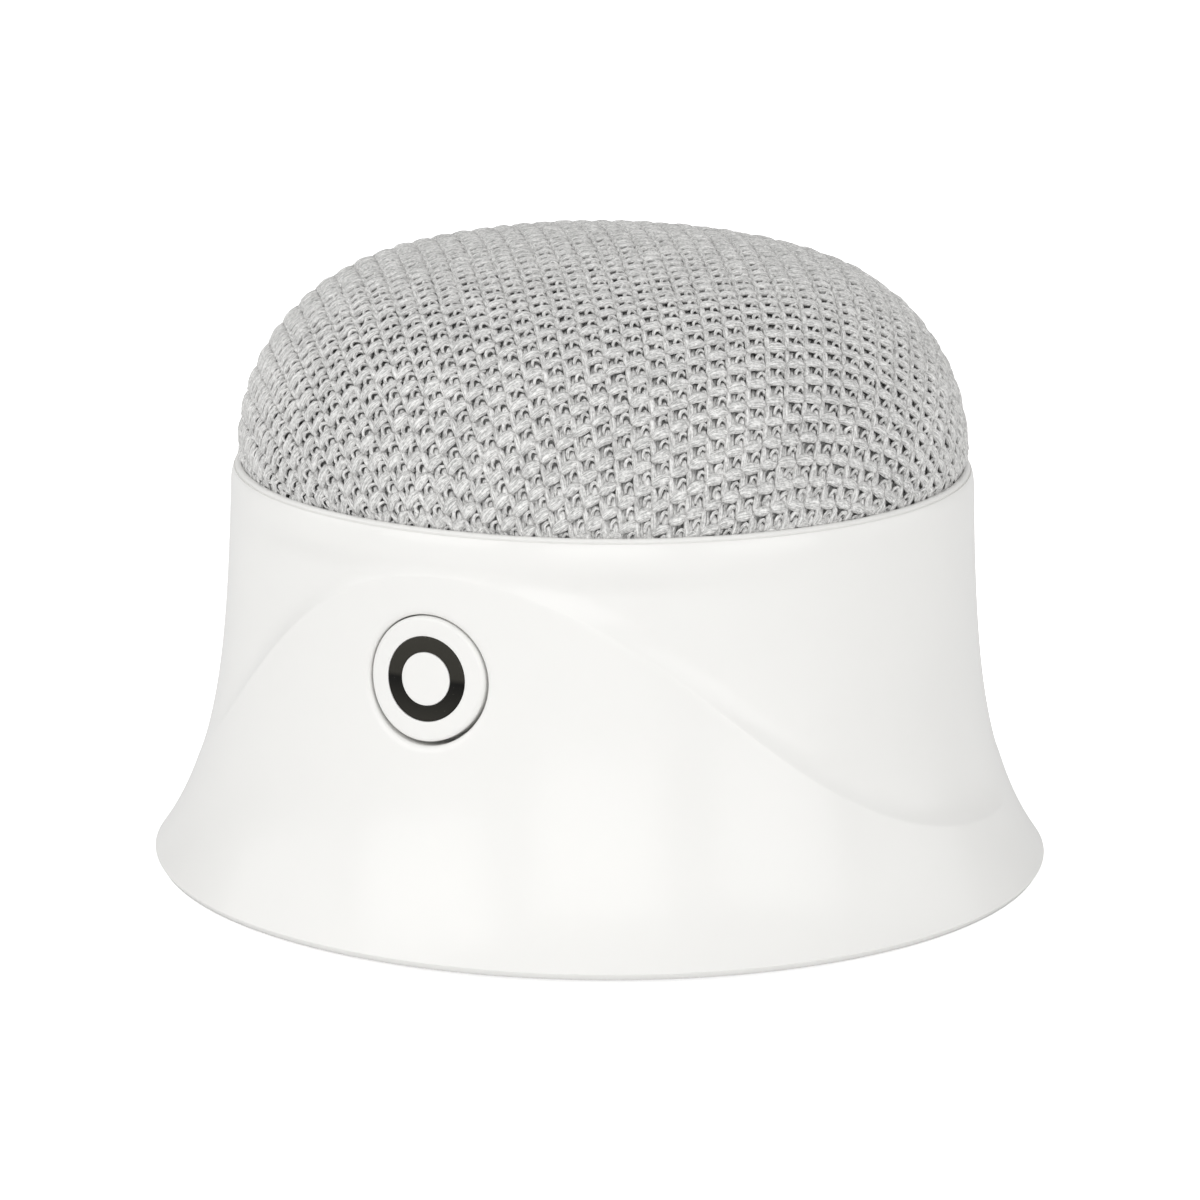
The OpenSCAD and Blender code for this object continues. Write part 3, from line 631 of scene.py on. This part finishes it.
def dome_line(s):
    """Radius, height and outward slope angle at a distance along the dome from its top."""
    on_crown = s < CROWN_LEN
    a = np.where(on_crown, math.pi / 2 - s / CROWN_R, MEET_A - (s - CROWN_LEN) / SHOULDER_R)
    a = np.maximum(a, 0)
    r = np.where(on_crown, CROWN_R * np.cos(a), SHOULDER_X + SHOULDER_R * np.cos(a))
    z = np.where(on_crown, CROWN_Z + CROWN_R * np.sin(a), DOME_WIDE_Z + SHOULDER_R * np.sin(a))
    below = np.maximum(s - RIM_LEN, 0)
    tuck = smooth(TUCK_START, TUCK_END, below) * (DOME_R - TUCK_R)
    turned_in = np.maximum(below - HEM_LEN, 0)
    return r - tuck - turned_in, z - below + turned_in, a


def on_dome(u, v, w):
    """Point of the stretched knit whose flat place is (u, v), w outside the dome."""
    s = np.maximum(np.hypot(u, v), 1e-6)
    r, z, a = dome_line(s)
    r, z = r + w * np.cos(a), z + w * np.sin(a)
    turn = math.radians(VIEW_AZ)
    right = np.array([math.cos(turn), math.sin(turn)])
    near = np.array([math.sin(turn), -math.cos(turn)])
    flat = (u[..., None] * right - v[..., None] * near) / s[..., None]
    return np.concatenate([flat * r[..., None], z[..., None]], -1)


def flat_place(column, course):
    """Flat place (u, v) of a point counted in columns and courses."""
    u, v = column / COLUMN_RATE, course / COURSE_RATE
    for _ in range(FLAT_STEPS):
        bend = COURSE_BEND * u**2 / (1 + (u / BEND_WIDE) ** 2) * v * np.exp(-0.5 * (v / BEND_DEEP) ** 2)
        next_u = (column - COLUMN_LEAN * v + COLUMN_SPREAD * u**3) / COLUMN_RATE
        next_v = (course - bend + COURSE_SPREAD * v**3) / COURSE_RATE
        u, v = np.clip(next_u, -FLAT_FAR, FLAT_FAR), np.clip(next_v, -FLAT_FAR, FLAT_FAR)
    return u, v


def stitches():
    """Column and course of each stitch; every other column sits half a course further on."""
    n = int(RIM_LEN * COURSE_RATE) + 2
    i, j = np.meshgrid(np.arange(-n, n + 1), np.arange(-n, n + 1), indexing="ij")
    column, course = i.ravel() * 1.0, (j + 0.5 * (i % 2)).ravel()
    near = np.hypot(*flat_place(column, course)) < RIM_LEN + STITCH_LEN
    return column[near], course[near]


def tubes(mid, out, radii, sides, squash):
    """Points of closed tubes along rows of middle points, flattened along out."""
    ahead = np.gradient(mid, axis=1)
    ahead /= np.linalg.norm(ahead, axis=-1, keepdims=True)
    side = np.cross(ahead, out)
    side /= np.linalg.norm(side, axis=-1, keepdims=True)
    up = np.cross(side, ahead)
    turn = 2 * math.pi * np.arange(sides) / sides
    ring = np.sin(turn)[:, None] * side[:, :, None] - squash * np.cos(turn)[:, None] * up[:, :, None]
    return mid[:, :, None] + ring * radii[:, :, None, None]


def press_on_lip(points):
    """Yarn that would reach past the lip's inner edge lies flat against it and bulges only above it."""
    r, z = np.hypot(points[..., 0], points[..., 1]), points[..., 2]
    limit = TUCK_R + np.maximum(z - (RIM_Z + BULGE_Z), 0) * BULGE_RATE
    shrink = np.minimum(limit / r, 1)[..., None]
    return np.concatenate([points[..., :2] * shrink, z[..., None]], -1)


def tube_faces(count, rings, sides):
    """Faces of as many closed tubes, which look outwards."""
    i, k = np.meshgrid(np.arange(rings - 1), np.arange(sides), indexing="ij")
    low, high, after = i * sides, (i + 1) * sides, (k + 1) % sides
    quad = np.stack([low + k, high + k, high + after, low + after], -1)
    base = (np.arange(count) * rings * sides)[:, None, None, None]
    faces = (quad[None] + base).reshape(-1, 4).tolist()
    for end in (np.arange(sides), (rings - 1) * sides + np.arange(sides)[::-1]):
        faces += (end[None] + base[:, 0, 0]).tolist()
    return faces


def yarns(name, sides, squash, jitter, path, cells, material):
    """One closed tube per stitch, along the path of one row of YARNS."""
    across, along, height, radius = np.array(path).T
    n, m = len(cells[0]), len(path)
    x = across + RNG.normal(0, jitter, (n, 1)) + RNG.normal(0, jitter * 0.5, (n, m))
    y = along + RNG.normal(0, jitter, (n, 1)) + RNG.normal(0, jitter * 0.5, (n, m))
    column = cells[0][:, None] + COLUMN_RATE * x + COLUMN_LEAN * y
    course = cells[1][:, None] + STITCH_RATE * y
    u, v = flat_place(column, course)
    w = height + RNG.normal(0, HEIGHT_JITTER, (n, 1)) + RNG.normal(0, POINT_HEIGHT_JITTER, (n, m))
    r = radius * (1 + RNG.normal(0, RADIUS_JITTER, (n, 1)) + RNG.normal(0, POINT_RADIUS_JITTER, (n, m)))
    dist = np.hypot(u, v)
    keep = (dist < RIM_LEN + TUCK_LEN).all(1)
    u, v, w, r, dist = u[keep], v[keep], w[keep], r[keep], dist[keep]
    w = w + RIM_LIFT * smooth(LIFT_FROM, LIFT_TO, dist - RIM_LEN)
    mid = on_dome(u, v, w)
    out = on_dome(u, v, w + 1) - mid
    points = press_on_lip(tubes(mid, out, r, sides, squash))
    length = np.concatenate([[0], np.cumsum(np.hypot(np.diff(across), np.diff(along)))])
    start = RNG.uniform(0, 40, (len(u), 1, 1))
    round_mm = 2 * math.pi * radius.max() * np.arange(sides) / sides
    uvs = np.stack(np.broadcast_arrays(start + length[None, :, None], start + round_mm), -1)
    faces = tube_faces(len(u), m, sides)
    points, uvs = points.reshape(-1, 3), uvs.reshape(-1, 2)
    obj = add_object(name, points, faces, "case", material, "knit_grey", uvs, 0)
    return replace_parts(obj, "fabric_cover")


def backing(material):
    """The stretched cloth under the stitches, from the dome's top to its hem behind the rim."""
    b = Builder()
    turn = 2 * math.pi * np.arange(BACKING_SIDES) / BACKING_SIDES
    hem = RIM_LEN + np.array([0.3, 0.6, 0.85, 1.3, BACKING_HEM])
    loops = []
    for d in np.concatenate([np.linspace(0.4, RIM_LEN, BACKING_ROWS), hem]):
        u, v = d * np.sin(turn), -d * np.cos(turn)
        loops.append(b.add(on_dome(u, v, np.full(len(u), BACKING_W))))
    for low, high in zip(loops, loops[1:]):
        b.bridge(high, low)
    hub = b.add(np.mean([b.points[i] for i in loops[0]], 0))[0]
    for i in range(len(turn)):
        b.faces.append((hub, loops[0][i], loops[0][(i + 1) % len(turn)]))
    obj = add_object("knit_backing", *b.compact(), "case", material, "knit_grey", None, 0)
    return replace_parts(obj, "fabric_cover")


def build_knit(cloth, yarn):
    """The stitches and the cloth behind them, which together are one stretched sheet."""
    cells = stitches()
    bar, loop, lump, wale, fill = [yarns(*row, cells, yarn) for row in YARNS]
    cover = backing(cloth)


# ---------------------------------------------------------------- materials
# Bands of a wave texture to one unit of its coordinates, near enough.
BANDS_PER_UNIT = 3.14


def shader(name, colour, rough, **sockets):
    """New material, its Principled node, and the functions that add a node and a link."""
    made = bpy.data.materials.new(name)
    made.use_nodes = True
    nodes, links = made.node_tree.nodes, made.node_tree.links
    bsdf = nodes["Principled BSDF"]
    bsdf.inputs["Base Color"].default_value = (*colour, 1)
    bsdf.inputs["Roughness"].default_value = rough
    for key, value in sockets.items():
        bsdf.inputs[key.replace("_", " ")].default_value = value

    def node(kind, **settings):
        n = nodes.new(kind)
        for key, value in settings.items():
            if key in n.inputs:
                n.inputs[key].default_value = value
            else:
                setattr(n, key, value)
        return n

    return made, bsdf, node, links.new


def feed(link, value, socket):
    """Links a value that is a socket, and writes one that is plain."""
    if isinstance(value, bpy.types.NodeSocket):
        link(value, socket)
    else:
        socket.default_value = value


def coords(node, link, scale, uv=False):
    """Object or UV coordinates times scale, which is one number or three."""
    place = node("ShaderNodeTexCoord")
    mapping = node("ShaderNodeMapping", Scale=(scale,) * 3 if np.isscalar(scale) else scale)
    link(place.outputs["UV" if uv else "Object"], mapping.inputs["Vector"])
    return mapping.outputs["Vector"]


def noise(node, link, place, detail, **settings):
    """Noise from 0 to 1 over coordinates."""
    n = node("ShaderNodeTexNoise", Scale=1.0, Detail=detail, **settings)
    link(place, n.inputs["Vector"])
    return n.outputs["Fac"]


def ramp(node, link, value, low, high, colours):
    """Colours from colours[0] at low to colours[1] at high."""
    n = node("ShaderNodeValToRGB")
    n.color_ramp.elements[0].position, n.color_ramp.elements[1].position = low, high
    for element, colour in zip(n.color_ramp.elements, colours):
        element.color = (*colour, 1)
    link(value, n.inputs["Fac"])
    return n.outputs["Color"]


def spread(node, link, value, low, high):
    """Value from 0..1 taken to low..high."""
    n = node("ShaderNodeMapRange")
    n.inputs["To Min"].default_value, n.inputs["To Max"].default_value = low, high
    link(value, n.inputs["Value"])
    return n.outputs["Result"]


def mixed(node, link, factor, a, b, blend="MIX"):
    """Colour from a at factor 0 to b at factor 1."""
    n = node("ShaderNodeMix", data_type="RGBA", blend_type=blend)
    for value, socket in zip((factor, a, b), (n.inputs["Factor"], n.inputs[6], n.inputs[7])):
        feed(link, value, socket)
    return n.outputs[2]


def bump(node, link, bsdf, height, distance):
    """Bump of the shader's surface, with its depth in metres."""
    n = node("ShaderNodeBump", Distance=distance, Strength=1.0)
    link(height, n.inputs["Height"])
    link(n.outputs["Normal"], bsdf.inputs["Normal"])


def tint(colour, share):
    """Colour made lighter or darker."""
    return tuple(min(1, c * share) for c in colour)


def grained(name, colour, rough, grain_mm, depth_mm, vary=0.04, rough_vary=0.06, **sockets):
    """Moulded, cast or painted surface: fine grain, slight mottling and uneven gloss."""
    made, bsdf, node, link = shader(name, colour, rough, **sockets)
    fine = noise(node, link, coords(node, link, 1000 / grain_mm), 3.0)
    broad = noise(node, link, coords(node, link, 90), 4.0)
    mottled = ramp(node, link, broad, 0.3, 0.7, (tint(colour, 1 - vary), tint(colour, 1 + vary)))
    link(mottled, bsdf.inputs["Base Color"])
    link(spread(node, link, broad, rough - rough_vary, rough + rough_vary), bsdf.inputs["Roughness"])
    bump(node, link, bsdf, fine, depth_mm * MM)
    return made


def smoked_painted_reflection(name, light, dark):
    """Glossy dark plastic with a painted reflection, darker in its lower half, and a few specks of dust.
    """
    made, bsdf, node, link = shader(name, light, 0.12, Specular_IOR_Level=0.12)
    height = node("ShaderNodeSeparateXYZ")
    link(coords(node, link, 1000), height.inputs["Vector"])
    rise = node("ShaderNodeMapRange")
    rise.inputs["From Min"].default_value = BUTTON_Z - RING_OUT_R
    rise.inputs["From Max"].default_value = BUTTON_Z + RING_OUT_R
    link(height.outputs["Z"], rise.inputs["Value"])
    # Painted reflection: darkening from the bottom edge to just under the middle, light above it.
    shade = node("ShaderNodeValToRGB")
    stops = shade.color_ramp.elements
    stops[0].position, stops[1].position = 0.0, 1.0
    stops[0].color, stops[1].color = (*tint(light, 0.8), 1), (*light, 1)
    for position, colour in ((0.50, dark), (0.56, tint(light, 0.85))):
        stops.new(position).color = (*colour, 1)
    link(rise.outputs["Result"], shade.inputs["Fac"])
    dust = noise(node, link, coords(node, link, 6000), 2.0)
    specks = ramp(node, link, dust, 0.70, 0.78, ((0, 0, 0), (0.25,) * 3))
    dusty = mixed(node, link, specks, shade.outputs["Color"], (0.3, 0.29, 0.26, 1))
    link(dusty, bsdf.inputs["Base Color"])
    link(spread(node, link, dust, 0.08, 0.2), bsdf.inputs["Roughness"])
    return made


def yarn_material(name, colour):
    """Loose multi-filament yarn: fine filaments that wind slowly round it, with light and dark ones."""
    made, bsdf, node, link = shader(
        name, colour, 0.7, Sheen_Weight=0.12, Sheen_Roughness=0.5, Specular_IOR_Level=0.3)
    along = coords(node, link, (1.3, 10.0, 1.0), uv=True)
    filaments = noise(node, link, along, 2.0, Roughness=0.6, Distortion=0.5)
    tufts = noise(node, link, coords(node, link, 5500), 2.0)
    broad = noise(node, link, coords(node, link, 260), 2.0)
    both = node("ShaderNodeMix", data_type="FLOAT")
    both.inputs["Factor"].default_value = 0.35
    link(filaments, both.inputs[2])
    link(tufts, both.inputs[3])
    shade = ramp(node, link, both.outputs[0], 0.38, 0.62, (tint(colour, 0.60), tint(colour, 1.40)))
    patches = ramp(node, link, broad, 0.3, 0.7, ((0.93,) * 3, (1.0,) * 3))
    link(mixed(node, link, 1.0, shade, patches, "MULTIPLY"), bsdf.inputs["Base Color"])
    link(spread(node, link, tufts, 0.55, 0.85), bsdf.inputs["Roughness"])
    bump(node, link, bsdf, both.outputs[0], 0.14 * MM)
    return made


def woven(name, colour, weave_mm, depth_mm, rough=0.85):
    """Plain woven cloth: threads along X and Y, about 0.6 of weave_mm apart."""
    made, bsdf, node, link = shader(name, colour, rough)
    place = coords(node, link, math.pi * 1000 / weave_mm)
    both = node("ShaderNodeMath", operation="MAXIMUM")
    for i, direction in enumerate("XY"):
        wave = node("ShaderNodeTexWave", bands_direction=direction, Scale=0.16, Distortion=0.4)
        link(place, wave.inputs["Vector"])
        link(wave.outputs["Fac"], both.inputs[i])
    threads = ramp(node, link, both.outputs[0], 0.1, 0.9, (tint(colour, 0.6), tint(colour, 1.1)))
    link(threads, bsdf.inputs["Base Color"])
    bump(node, link, bsdf, both.outputs[0], depth_mm * MM)
    return made


def banded(name, colour, direction, per_mm, depth_mm, rough, dark=0.6, **sockets):
    """Parallel lines: brushed metal, a coil's turns or a ribbon's tracks."""
    made, bsdf, node, link = shader(name, colour, rough, **sockets)
    wave = node("ShaderNodeTexWave", bands_direction=direction, Scale=1.0, Distortion=0.6, Detail=2.0)
    link(coords(node, link, per_mm * 1000 / BANDS_PER_UNIT), wave.inputs["Vector"])
    lines = ramp(node, link, wave.outputs["Fac"], 0.2, 0.8, (tint(colour, dark), colour))
    link(lines, bsdf.inputs["Base Color"])
    bump(node, link, bsdf, wave.outputs["Fac"], depth_mm * MM)
    return made


def circuit_board(name):
    """Green solder mask with lighter tracks and plated spots."""
    mask, track, plating = (0.012, 0.13, 0.045), (0.03, 0.24, 0.09), (0.75, 0.6, 0.25, 1)
    made, bsdf, node, link = shader(name, mask, 0.35, Coat_Weight=0.3)
    tracks = node("ShaderNodeTexVoronoi", feature="DISTANCE_TO_EDGE", distance="MANHATTAN", Scale=420.0)
    spots = node("ShaderNodeTexVoronoi", Scale=300.0)
    place = coords(node, link, 1)
    link(place, tracks.inputs["Vector"])
    link(place, spots.inputs["Vector"])
    green = ramp(node, link, tracks.outputs["Distance"], 0.05, 0.09, (track, mask))
    plated = ramp(node, link, spots.outputs["Distance"], 0.12, 0.15, ((1, 1, 1), (0, 0, 0)))
    link(mixed(node, link, plated, green, plating), bsdf.inputs["Base Color"])
    bump(node, link, bsdf, tracks.outputs["Distance"], 0.03 * MM)
    return made


def build_materials():
    """A material for each of the record's slots. Grain and depth are in millimetres."""
    white = (0.80, 0.795, 0.775)
    black, nickel, pouch = (0.018, 0.018, 0.02), (0.6, 0.57, 0.52), (0.55, 0.57, 0.6)
    steel, ballast, can = (0.62, 0.61, 0.58), (0.5, 0.5, 0.49), (0.75, 0.75, 0.75)
    gold = (0.85, 0.62, 0.25)
    return {
        "shell_white": grained("shell_white", white, 0.30, 0.35, 0.0016, 0.008, 0.03,
                               Coat_Weight=0.25, Coat_Roughness=0.12),
        # The ring's own dark colour, then the darkest colour of its painted reflection, just under its
        # middle.
        "ring_dark": smoked_painted_reflection("ring_dark", (0.034, 0.032, 0.026), (0.004, 0.004, 0.0035)),
        "knit_grey": yarn_material("knit_grey", (0.685, 0.681, 0.668)),
        "frame_black": grained("frame_black", black, 0.55, 0.3, 0.01, 0.2),
        "basket_black": grained("basket_black", (0.022, 0.022, 0.024), 0.45, 0.25, 0.015, 0.25),
        "zinc_steel": banded("zinc_steel", steel, "X", 4, 0.002, 0.28, 0.9, Metallic=1.0),
        "magnet_nickel": grained("magnet_nickel", nickel, 0.2, 0.4, 0.003, 0.05, Metallic=1.0),
        "copper_wire": banded("copper_wire", (0.72, 0.32, 0.12), "Z", 6, 0.04, 0.3, 0.5, Metallic=1.0),
        "coil_paper": grained("coil_paper", (0.42, 0.26, 0.12), 0.8, 0.15, 0.01, 0.12),
        "spider_cloth": woven("spider_cloth", (0.62, 0.42, 0.10), 0.35, 0.05),
        "cone_paper": grained("cone_paper", (0.035, 0.035, 0.038), 0.85, 0.2, 0.03, 0.35),
        "black_rubber": grained("black_rubber", (0.02, 0.02, 0.021), 0.6, 0.4, 0.006, 0.2, 0.1),
        "gasket_foam": grained("gasket_foam", (0.03, 0.03, 0.032), 0.95, 0.22, 0.08, 0.4),
        "terminal_brown": grained("terminal_brown", (0.22, 0.09, 0.04), 0.5, 0.3, 0.005, 0.12),
        "board_green": circuit_board("board_green"),
        "shield_tin": banded("shield_tin", (0.7, 0.69, 0.66), "Y", 5, 0.002, 0.25, 0.92, Metallic=1.0),
        "chip_black": grained("chip_black", (0.02, 0.02, 0.021), 0.55, 0.12, 0.006, 0.2),
        "capacitor_can": banded("capacitor_can", can, "Z", 3, 0.002, 0.22, 0.94, Metallic=1.0),
        "ceramic_white": grained("ceramic_white", (0.8, 0.8, 0.76), 0.35, 0.3, 0.002, 0.03),
        "nylon_ivory": grained("nylon_ivory", (0.72, 0.67, 0.52), 0.45, 0.3, 0.004, 0.04),
        "switch_grey": grained("switch_grey", (0.2, 0.2, 0.21), 0.5, 0.25, 0.006, 0.08),
        "sensor_gold": banded("sensor_gold", gold, "X", 8, 0.002, 0.25, 0.9, Metallic=1.0),
        "ribbon_white": banded("ribbon_white", (0.75, 0.75, 0.74), "X", 1.0, 0.01, 0.45, 0.8),
        "ribbon_amber": banded("ribbon_amber", (0.62, 0.27, 0.04), "Y", 1.2, 0.008, 0.35, 0.7),
        "base_grey": grained("base_grey", (0.62, 0.62, 0.605), 0.5, 0.25, 0.01, 0.03),
        "pad_grey": grained("pad_grey", (0.13, 0.13, 0.13), 0.7, 0.5, 0.012, 0.1, 0.1),
        "ballast_steel": banded("ballast_steel", ballast, "Y", 3, 0.003, 0.35, 0.85, Metallic=1.0),
        "battery_pouch": grained("battery_pouch", pouch, 0.3, 1.6, 0.05, 0.06, Metallic=0.8),
        "tape_amber": grained("tape_amber", (0.7, 0.33, 0.04), 0.3, 0.8, 0.01, 0.1),
        "wire_red": grained("wire_red", (0.5, 0.02, 0.015), 0.4, 0.3, 0.004, 0.1),
        "wire_black": grained("wire_black", (0.02, 0.02, 0.02), 0.4, 0.3, 0.004, 0.2),
    }


def dress_nodes(materials):
    """Gives each CAD node the material of its own slot in the record."""
    for part in frame["record"]["subparts"]:
        mesh = frame["nodes"][part["node"]].data
        mesh.materials.clear()
        mesh.materials.append(materials[part["material_slot"]])


# ---------------------------------------------------------------- stage, lights and camera
# Light of the surroundings' dim and bright sides, and the bright side's turn from the view in degrees.
WORLD_DIM, WORLD_BRIGHT, BRIGHT_TURN = 0.56, 0.74, -15
FLOOR_R, FLOOR_GLOW = 1.2, 0.7

# Name, turn from the camera and height in degrees, size in metres, power in watts.
LIGHTS = (
    ("front", 0, 15, 0.5, 1.12),
    ("left", -50, 25, 0.5, 1.14),
    ("right", 50, 10, 0.5, 1.02),
    ("left_side", -95, 25, 0.5, 0.56),
    ("right_side", 95, 10, 0.5, 0.40),
    ("top", 0, 80, 0.6, 0.30),
)
LIGHT_FAR, LIGHT_AIM_Z = 0.8, 0.02

# Metres, then degrees, then the lens and sensor in millimetres and the shift as a share of the picture.
CAMERA_FAR, CAMERA_AIM_Z = 0.350, 0.01802
CAMERA_PITCH, CAMERA_ROLL = 13.745, 0.45
LENS, SENSOR, LENS_SHIFT = 151.7, 36, -0.00138


def toward(azimuth, elevation):
    """Unit vector out of the speaker, from degrees; azimuth 0 is in front of the button."""
    a, e = math.radians(azimuth), math.radians(elevation)
    return Vector((math.sin(a) * math.cos(e), -math.cos(a) * math.cos(e), math.sin(e)))


def seen_or_lit(tree, seen, lit):
    """A strength that is seen where the camera looks straight at it, and lit for the light it gives."""
    path = tree.nodes.new("ShaderNodeLightPath")
    pick = tree.nodes.new("ShaderNodeMapRange")
    feed(tree.links.new, lit, pick.inputs["To Min"])
    feed(tree.links.new, seen, pick.inputs["To Max"])
    tree.links.new(path.outputs["Is Camera Ray"], pick.inputs["Value"])
    return pick.outputs["Result"]


def build_world():
    """Surroundings that look white and give more light on the side near the camera."""
    world = bpy.data.worlds.new("studio")
    bpy.context.scene.world = world
    world.use_nodes = True
    nodes, link = world.node_tree.nodes, world.node_tree.links.new
    place = nodes.new("ShaderNodeTexCoord")
    facing = nodes.new("ShaderNodeVectorMath")
    facing.operation = "DOT_PRODUCT"
    facing.inputs[1].default_value = toward(VIEW_AZ + BRIGHT_TURN, 0)
    shade = nodes.new("ShaderNodeMapRange")
    shade.inputs["From Min"].default_value, shade.inputs["From Max"].default_value = -0.5, 0.5
    shade.inputs["To Min"].default_value, shade.inputs["To Max"].default_value = WORLD_DIM, WORLD_BRIGHT
    link(place.outputs["Generated"], facing.inputs[0])
    link(facing.outputs["Value"], shade.inputs["Value"])
    background = nodes["Background"]
    background.inputs["Color"].default_value = (1, 1, 1, 1)
    link(seen_or_lit(world.node_tree, 1.0, shade.outputs["Result"]), background.inputs["Strength"])


def build_floor():
    """White floor whose glow only the camera sees."""
    mesh = bpy.data.meshes.new("floor")
    b = bmesh.new()
    bmesh.ops.create_circle(b, cap_ends=True, segments=96, radius=FLOOR_R)
    b.to_mesh(mesh)
    b.free()
    floor = bpy.data.objects.new("floor", mesh)
    bpy.context.scene.collection.objects.link(floor)
    made, bsdf, _, link = shader("floor_white", (0.95, 0.95, 0.95), 0.6)
    bsdf.inputs["Emission Color"].default_value = (1, 1, 1, 1)
    link(seen_or_lit(made.node_tree, FLOOR_GLOW, 0.0), bsdf.inputs["Emission Strength"])
    floor.data.materials.append(made)


def add_light(name, turn, elevation, size, power):
    """Square soft light aimed at the speaker's middle, at a turn from the camera."""
    light = bpy.data.lights.new(name, "AREA")
    light.shape = "SQUARE"
    light.size = size
    light.energy = power
    obj = bpy.data.objects.new(name, light)
    bpy.context.scene.collection.objects.link(obj)
    back = toward(VIEW_AZ + turn, elevation)
    obj.location = Vector((0, 0, LIGHT_AIM_Z)) + back * LIGHT_FAR
    obj.rotation_mode = "QUATERNION"
    obj.rotation_quaternion = (-back).to_track_quat("-Z", "Y")


def build_camera():
    """The camera, at the photograph's angle and distance."""
    back = toward(VIEW_AZ, CAMERA_PITCH)
    data = bpy.data.cameras.new("camera")
    data.sensor_width = SENSOR
    data.lens = LENS
    data.shift_x = LENS_SHIFT
    data.clip_start, data.clip_end = 0.01, 10
    camera = bpy.data.objects.new("camera", data)
    bpy.context.scene.collection.objects.link(camera)
    camera.location = Vector((0, 0, CAMERA_AIM_Z)) + back * CAMERA_FAR
    roll = Matrix.Rotation(math.radians(CAMERA_ROLL), 3, "Z")
    camera.rotation_mode = "QUATERNION"
    camera.rotation_quaternion = ((-back).to_track_quat("-Z", "Y").to_matrix() @ roll).to_quaternion()
    bpy.context.scene.camera = camera


# ---------------------------------------------------------------- making
materials = build_materials()
dress_nodes(materials)
button_spot = build_shell(materials["shell_white"])
build_button(button_spot, materials["shell_white"], materials["ring_dark"])
# The cloth behind the stitches is a darker grey than the yarn: painted shade in the holes between the
# stitches.
build_knit(woven("knit_backing_painted_shade", (0.34, 0.34, 0.335), 0.35, 0.04), materials["knit_grey"])
build_world()
build_floor()
for light in LIGHTS:
    add_light(*light)
build_camera()
bpy.context.scene.view_settings.view_transform = "Standard"
